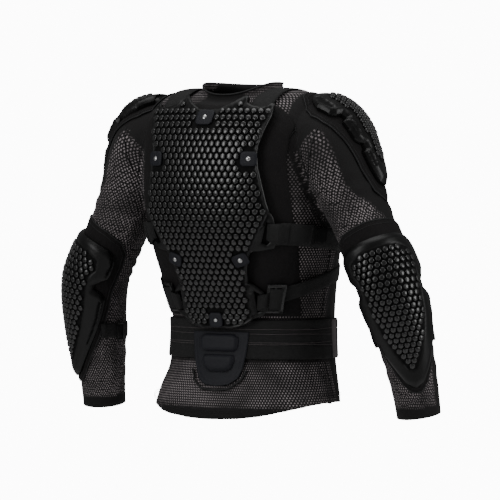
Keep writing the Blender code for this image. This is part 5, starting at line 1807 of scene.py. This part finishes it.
def make_studio():
    """Pale floor far below, white surroundings, soft lights and the camera."""
    floor_stuff = Nodes("pale_floor")
    floor_stuff.link(floor_stuff.add("ShaderNodeTexNoise", Scale=0.6).outputs[0], "Roughness")
    floor_stuff.shader.inputs["Base Color"].default_value = grey(0.9)
    size = 3.0
    corners = [(-size, -size, -1.4), (size, -size, -1.4), (size, size, -1.4), (-size, size, -1.4)]
    floor = add_object("studio_floor", corners, [(0, 1, 2, 3)], floor_stuff.stuff)
    world = bpy.data.worlds.new("studio")
    bpy.context.scene.world = world
    world.use_nodes = True
    tree = world.node_tree
    tree.nodes["Background"].inputs[0].default_value = (1.0, 1.0, 1.0, 1.0)
    seen = tree.nodes.new("ShaderNodeLightPath")
    level_of = tree.nodes.new("ShaderNodeMapRange")
    level_of.inputs["To Min"].default_value = WORLD_LIGHT
    level_of.inputs["To Max"].default_value = WORLD_SEEN
    tree.links.new(seen.outputs["Is Camera Ray"], level_of.inputs["Value"])
    tree.links.new(level_of.outputs[0], tree.nodes["Background"].inputs[1])
    target = Vector((-0.0106, -0.0069, -0.291))
    turn = math.radians(CAMERA_AZIMUTH)
    rise = math.radians(CAMERA_RISE)
    to_camera = Vector((math.sin(turn) * math.cos(rise), -math.cos(turn) * math.cos(rise),
                        math.sin(rise)))
    right = Vector((math.cos(turn), math.sin(turn), 0.0))
    area_light("top_light", (0.0, 0.3, 1.9), (0, 0, -0.2), (2.2, 1.6), 27)
    left = target + to_camera * 1.5 - right * 1.9 + Vector((0, 0, 0.7))
    area_light("left_light", left, target, (0.9, 1.8), 24)
    other = target + to_camera * 1.2 + right * 2.0 + Vector((0, 0, 0.5))
    area_light("right_light", other, target, (0.8, 1.8), 24)
    data = bpy.data.cameras.new("camera")
    data.lens_unit = "FOV"
    data.angle = 2 * math.atan(0.45 / CAMERA_DISTANCE)
    camera = bpy.data.objects.new("camera", data)
    bpy.context.scene.collection.objects.link(camera)
    camera.location = target + to_camera * CAMERA_DISTANCE
    camera.rotation_euler = (-to_camera).to_track_quat("-Z", "Y").to_euler()
    bpy.context.scene.camera = camera


WORLD_LIGHT = 0.16
WORLD_SEEN = 12.0
CAMERA_AZIMUTH = 213.0
CAMERA_RISE = 1.5
CAMERA_DISTANCE = 8.0


def main():
    """Build the dressed jacket, the lights and the camera."""
    body_tree = outside_tree(False)
    full_tree = outside_tree(True)
    mesh_stuff = dotted_cloth()
    cloth = smooth_cloth()
    strap_stuff = webbing()
    shell_stuff = plastic("satin_plastic", 0.0046, 0.34, specular=0.28)
    stud_stuff = plastic("stud_plastic", 0.0075, 0.24, coat=0.25, specular=0.6)
    navy = rubber("navy_rubber", (0.0046, 0.0052, 0.0098, 1.0), 0.6)
    thread = rubber("dark_thread", (0.0070, 0.0070, 0.0075, 1.0), 0.6)
    patch = rubber("hook_patch_stuff", (0.0040, 0.0040, 0.0042, 1.0), 0.9)
    silver = metal()
    make_garment(mesh_stuff)
    make_plate(body_tree, shell_stuff, stud_stuff, navy, silver, cloth)
    make_belt(body_tree, strap_stuff, rubber("belt_line_stuff", warm(0.08), 0.7))
    make_lumbar(body_tree, navy, thread)
    make_straps(body_tree, strap_stuff, plastic("lock_plastic", 0.016, 0.28), patch)
    make_shoulders(full_tree, cloth, shell_stuff, stud_stuff, thread)
    make_elbows(cloth, shell_stuff, stud_stuff, thread, strap_stuff)
    make_front(body_tree, shell_stuff)
    make_seams(body_tree, full_tree, thread)
    make_studio()


main()
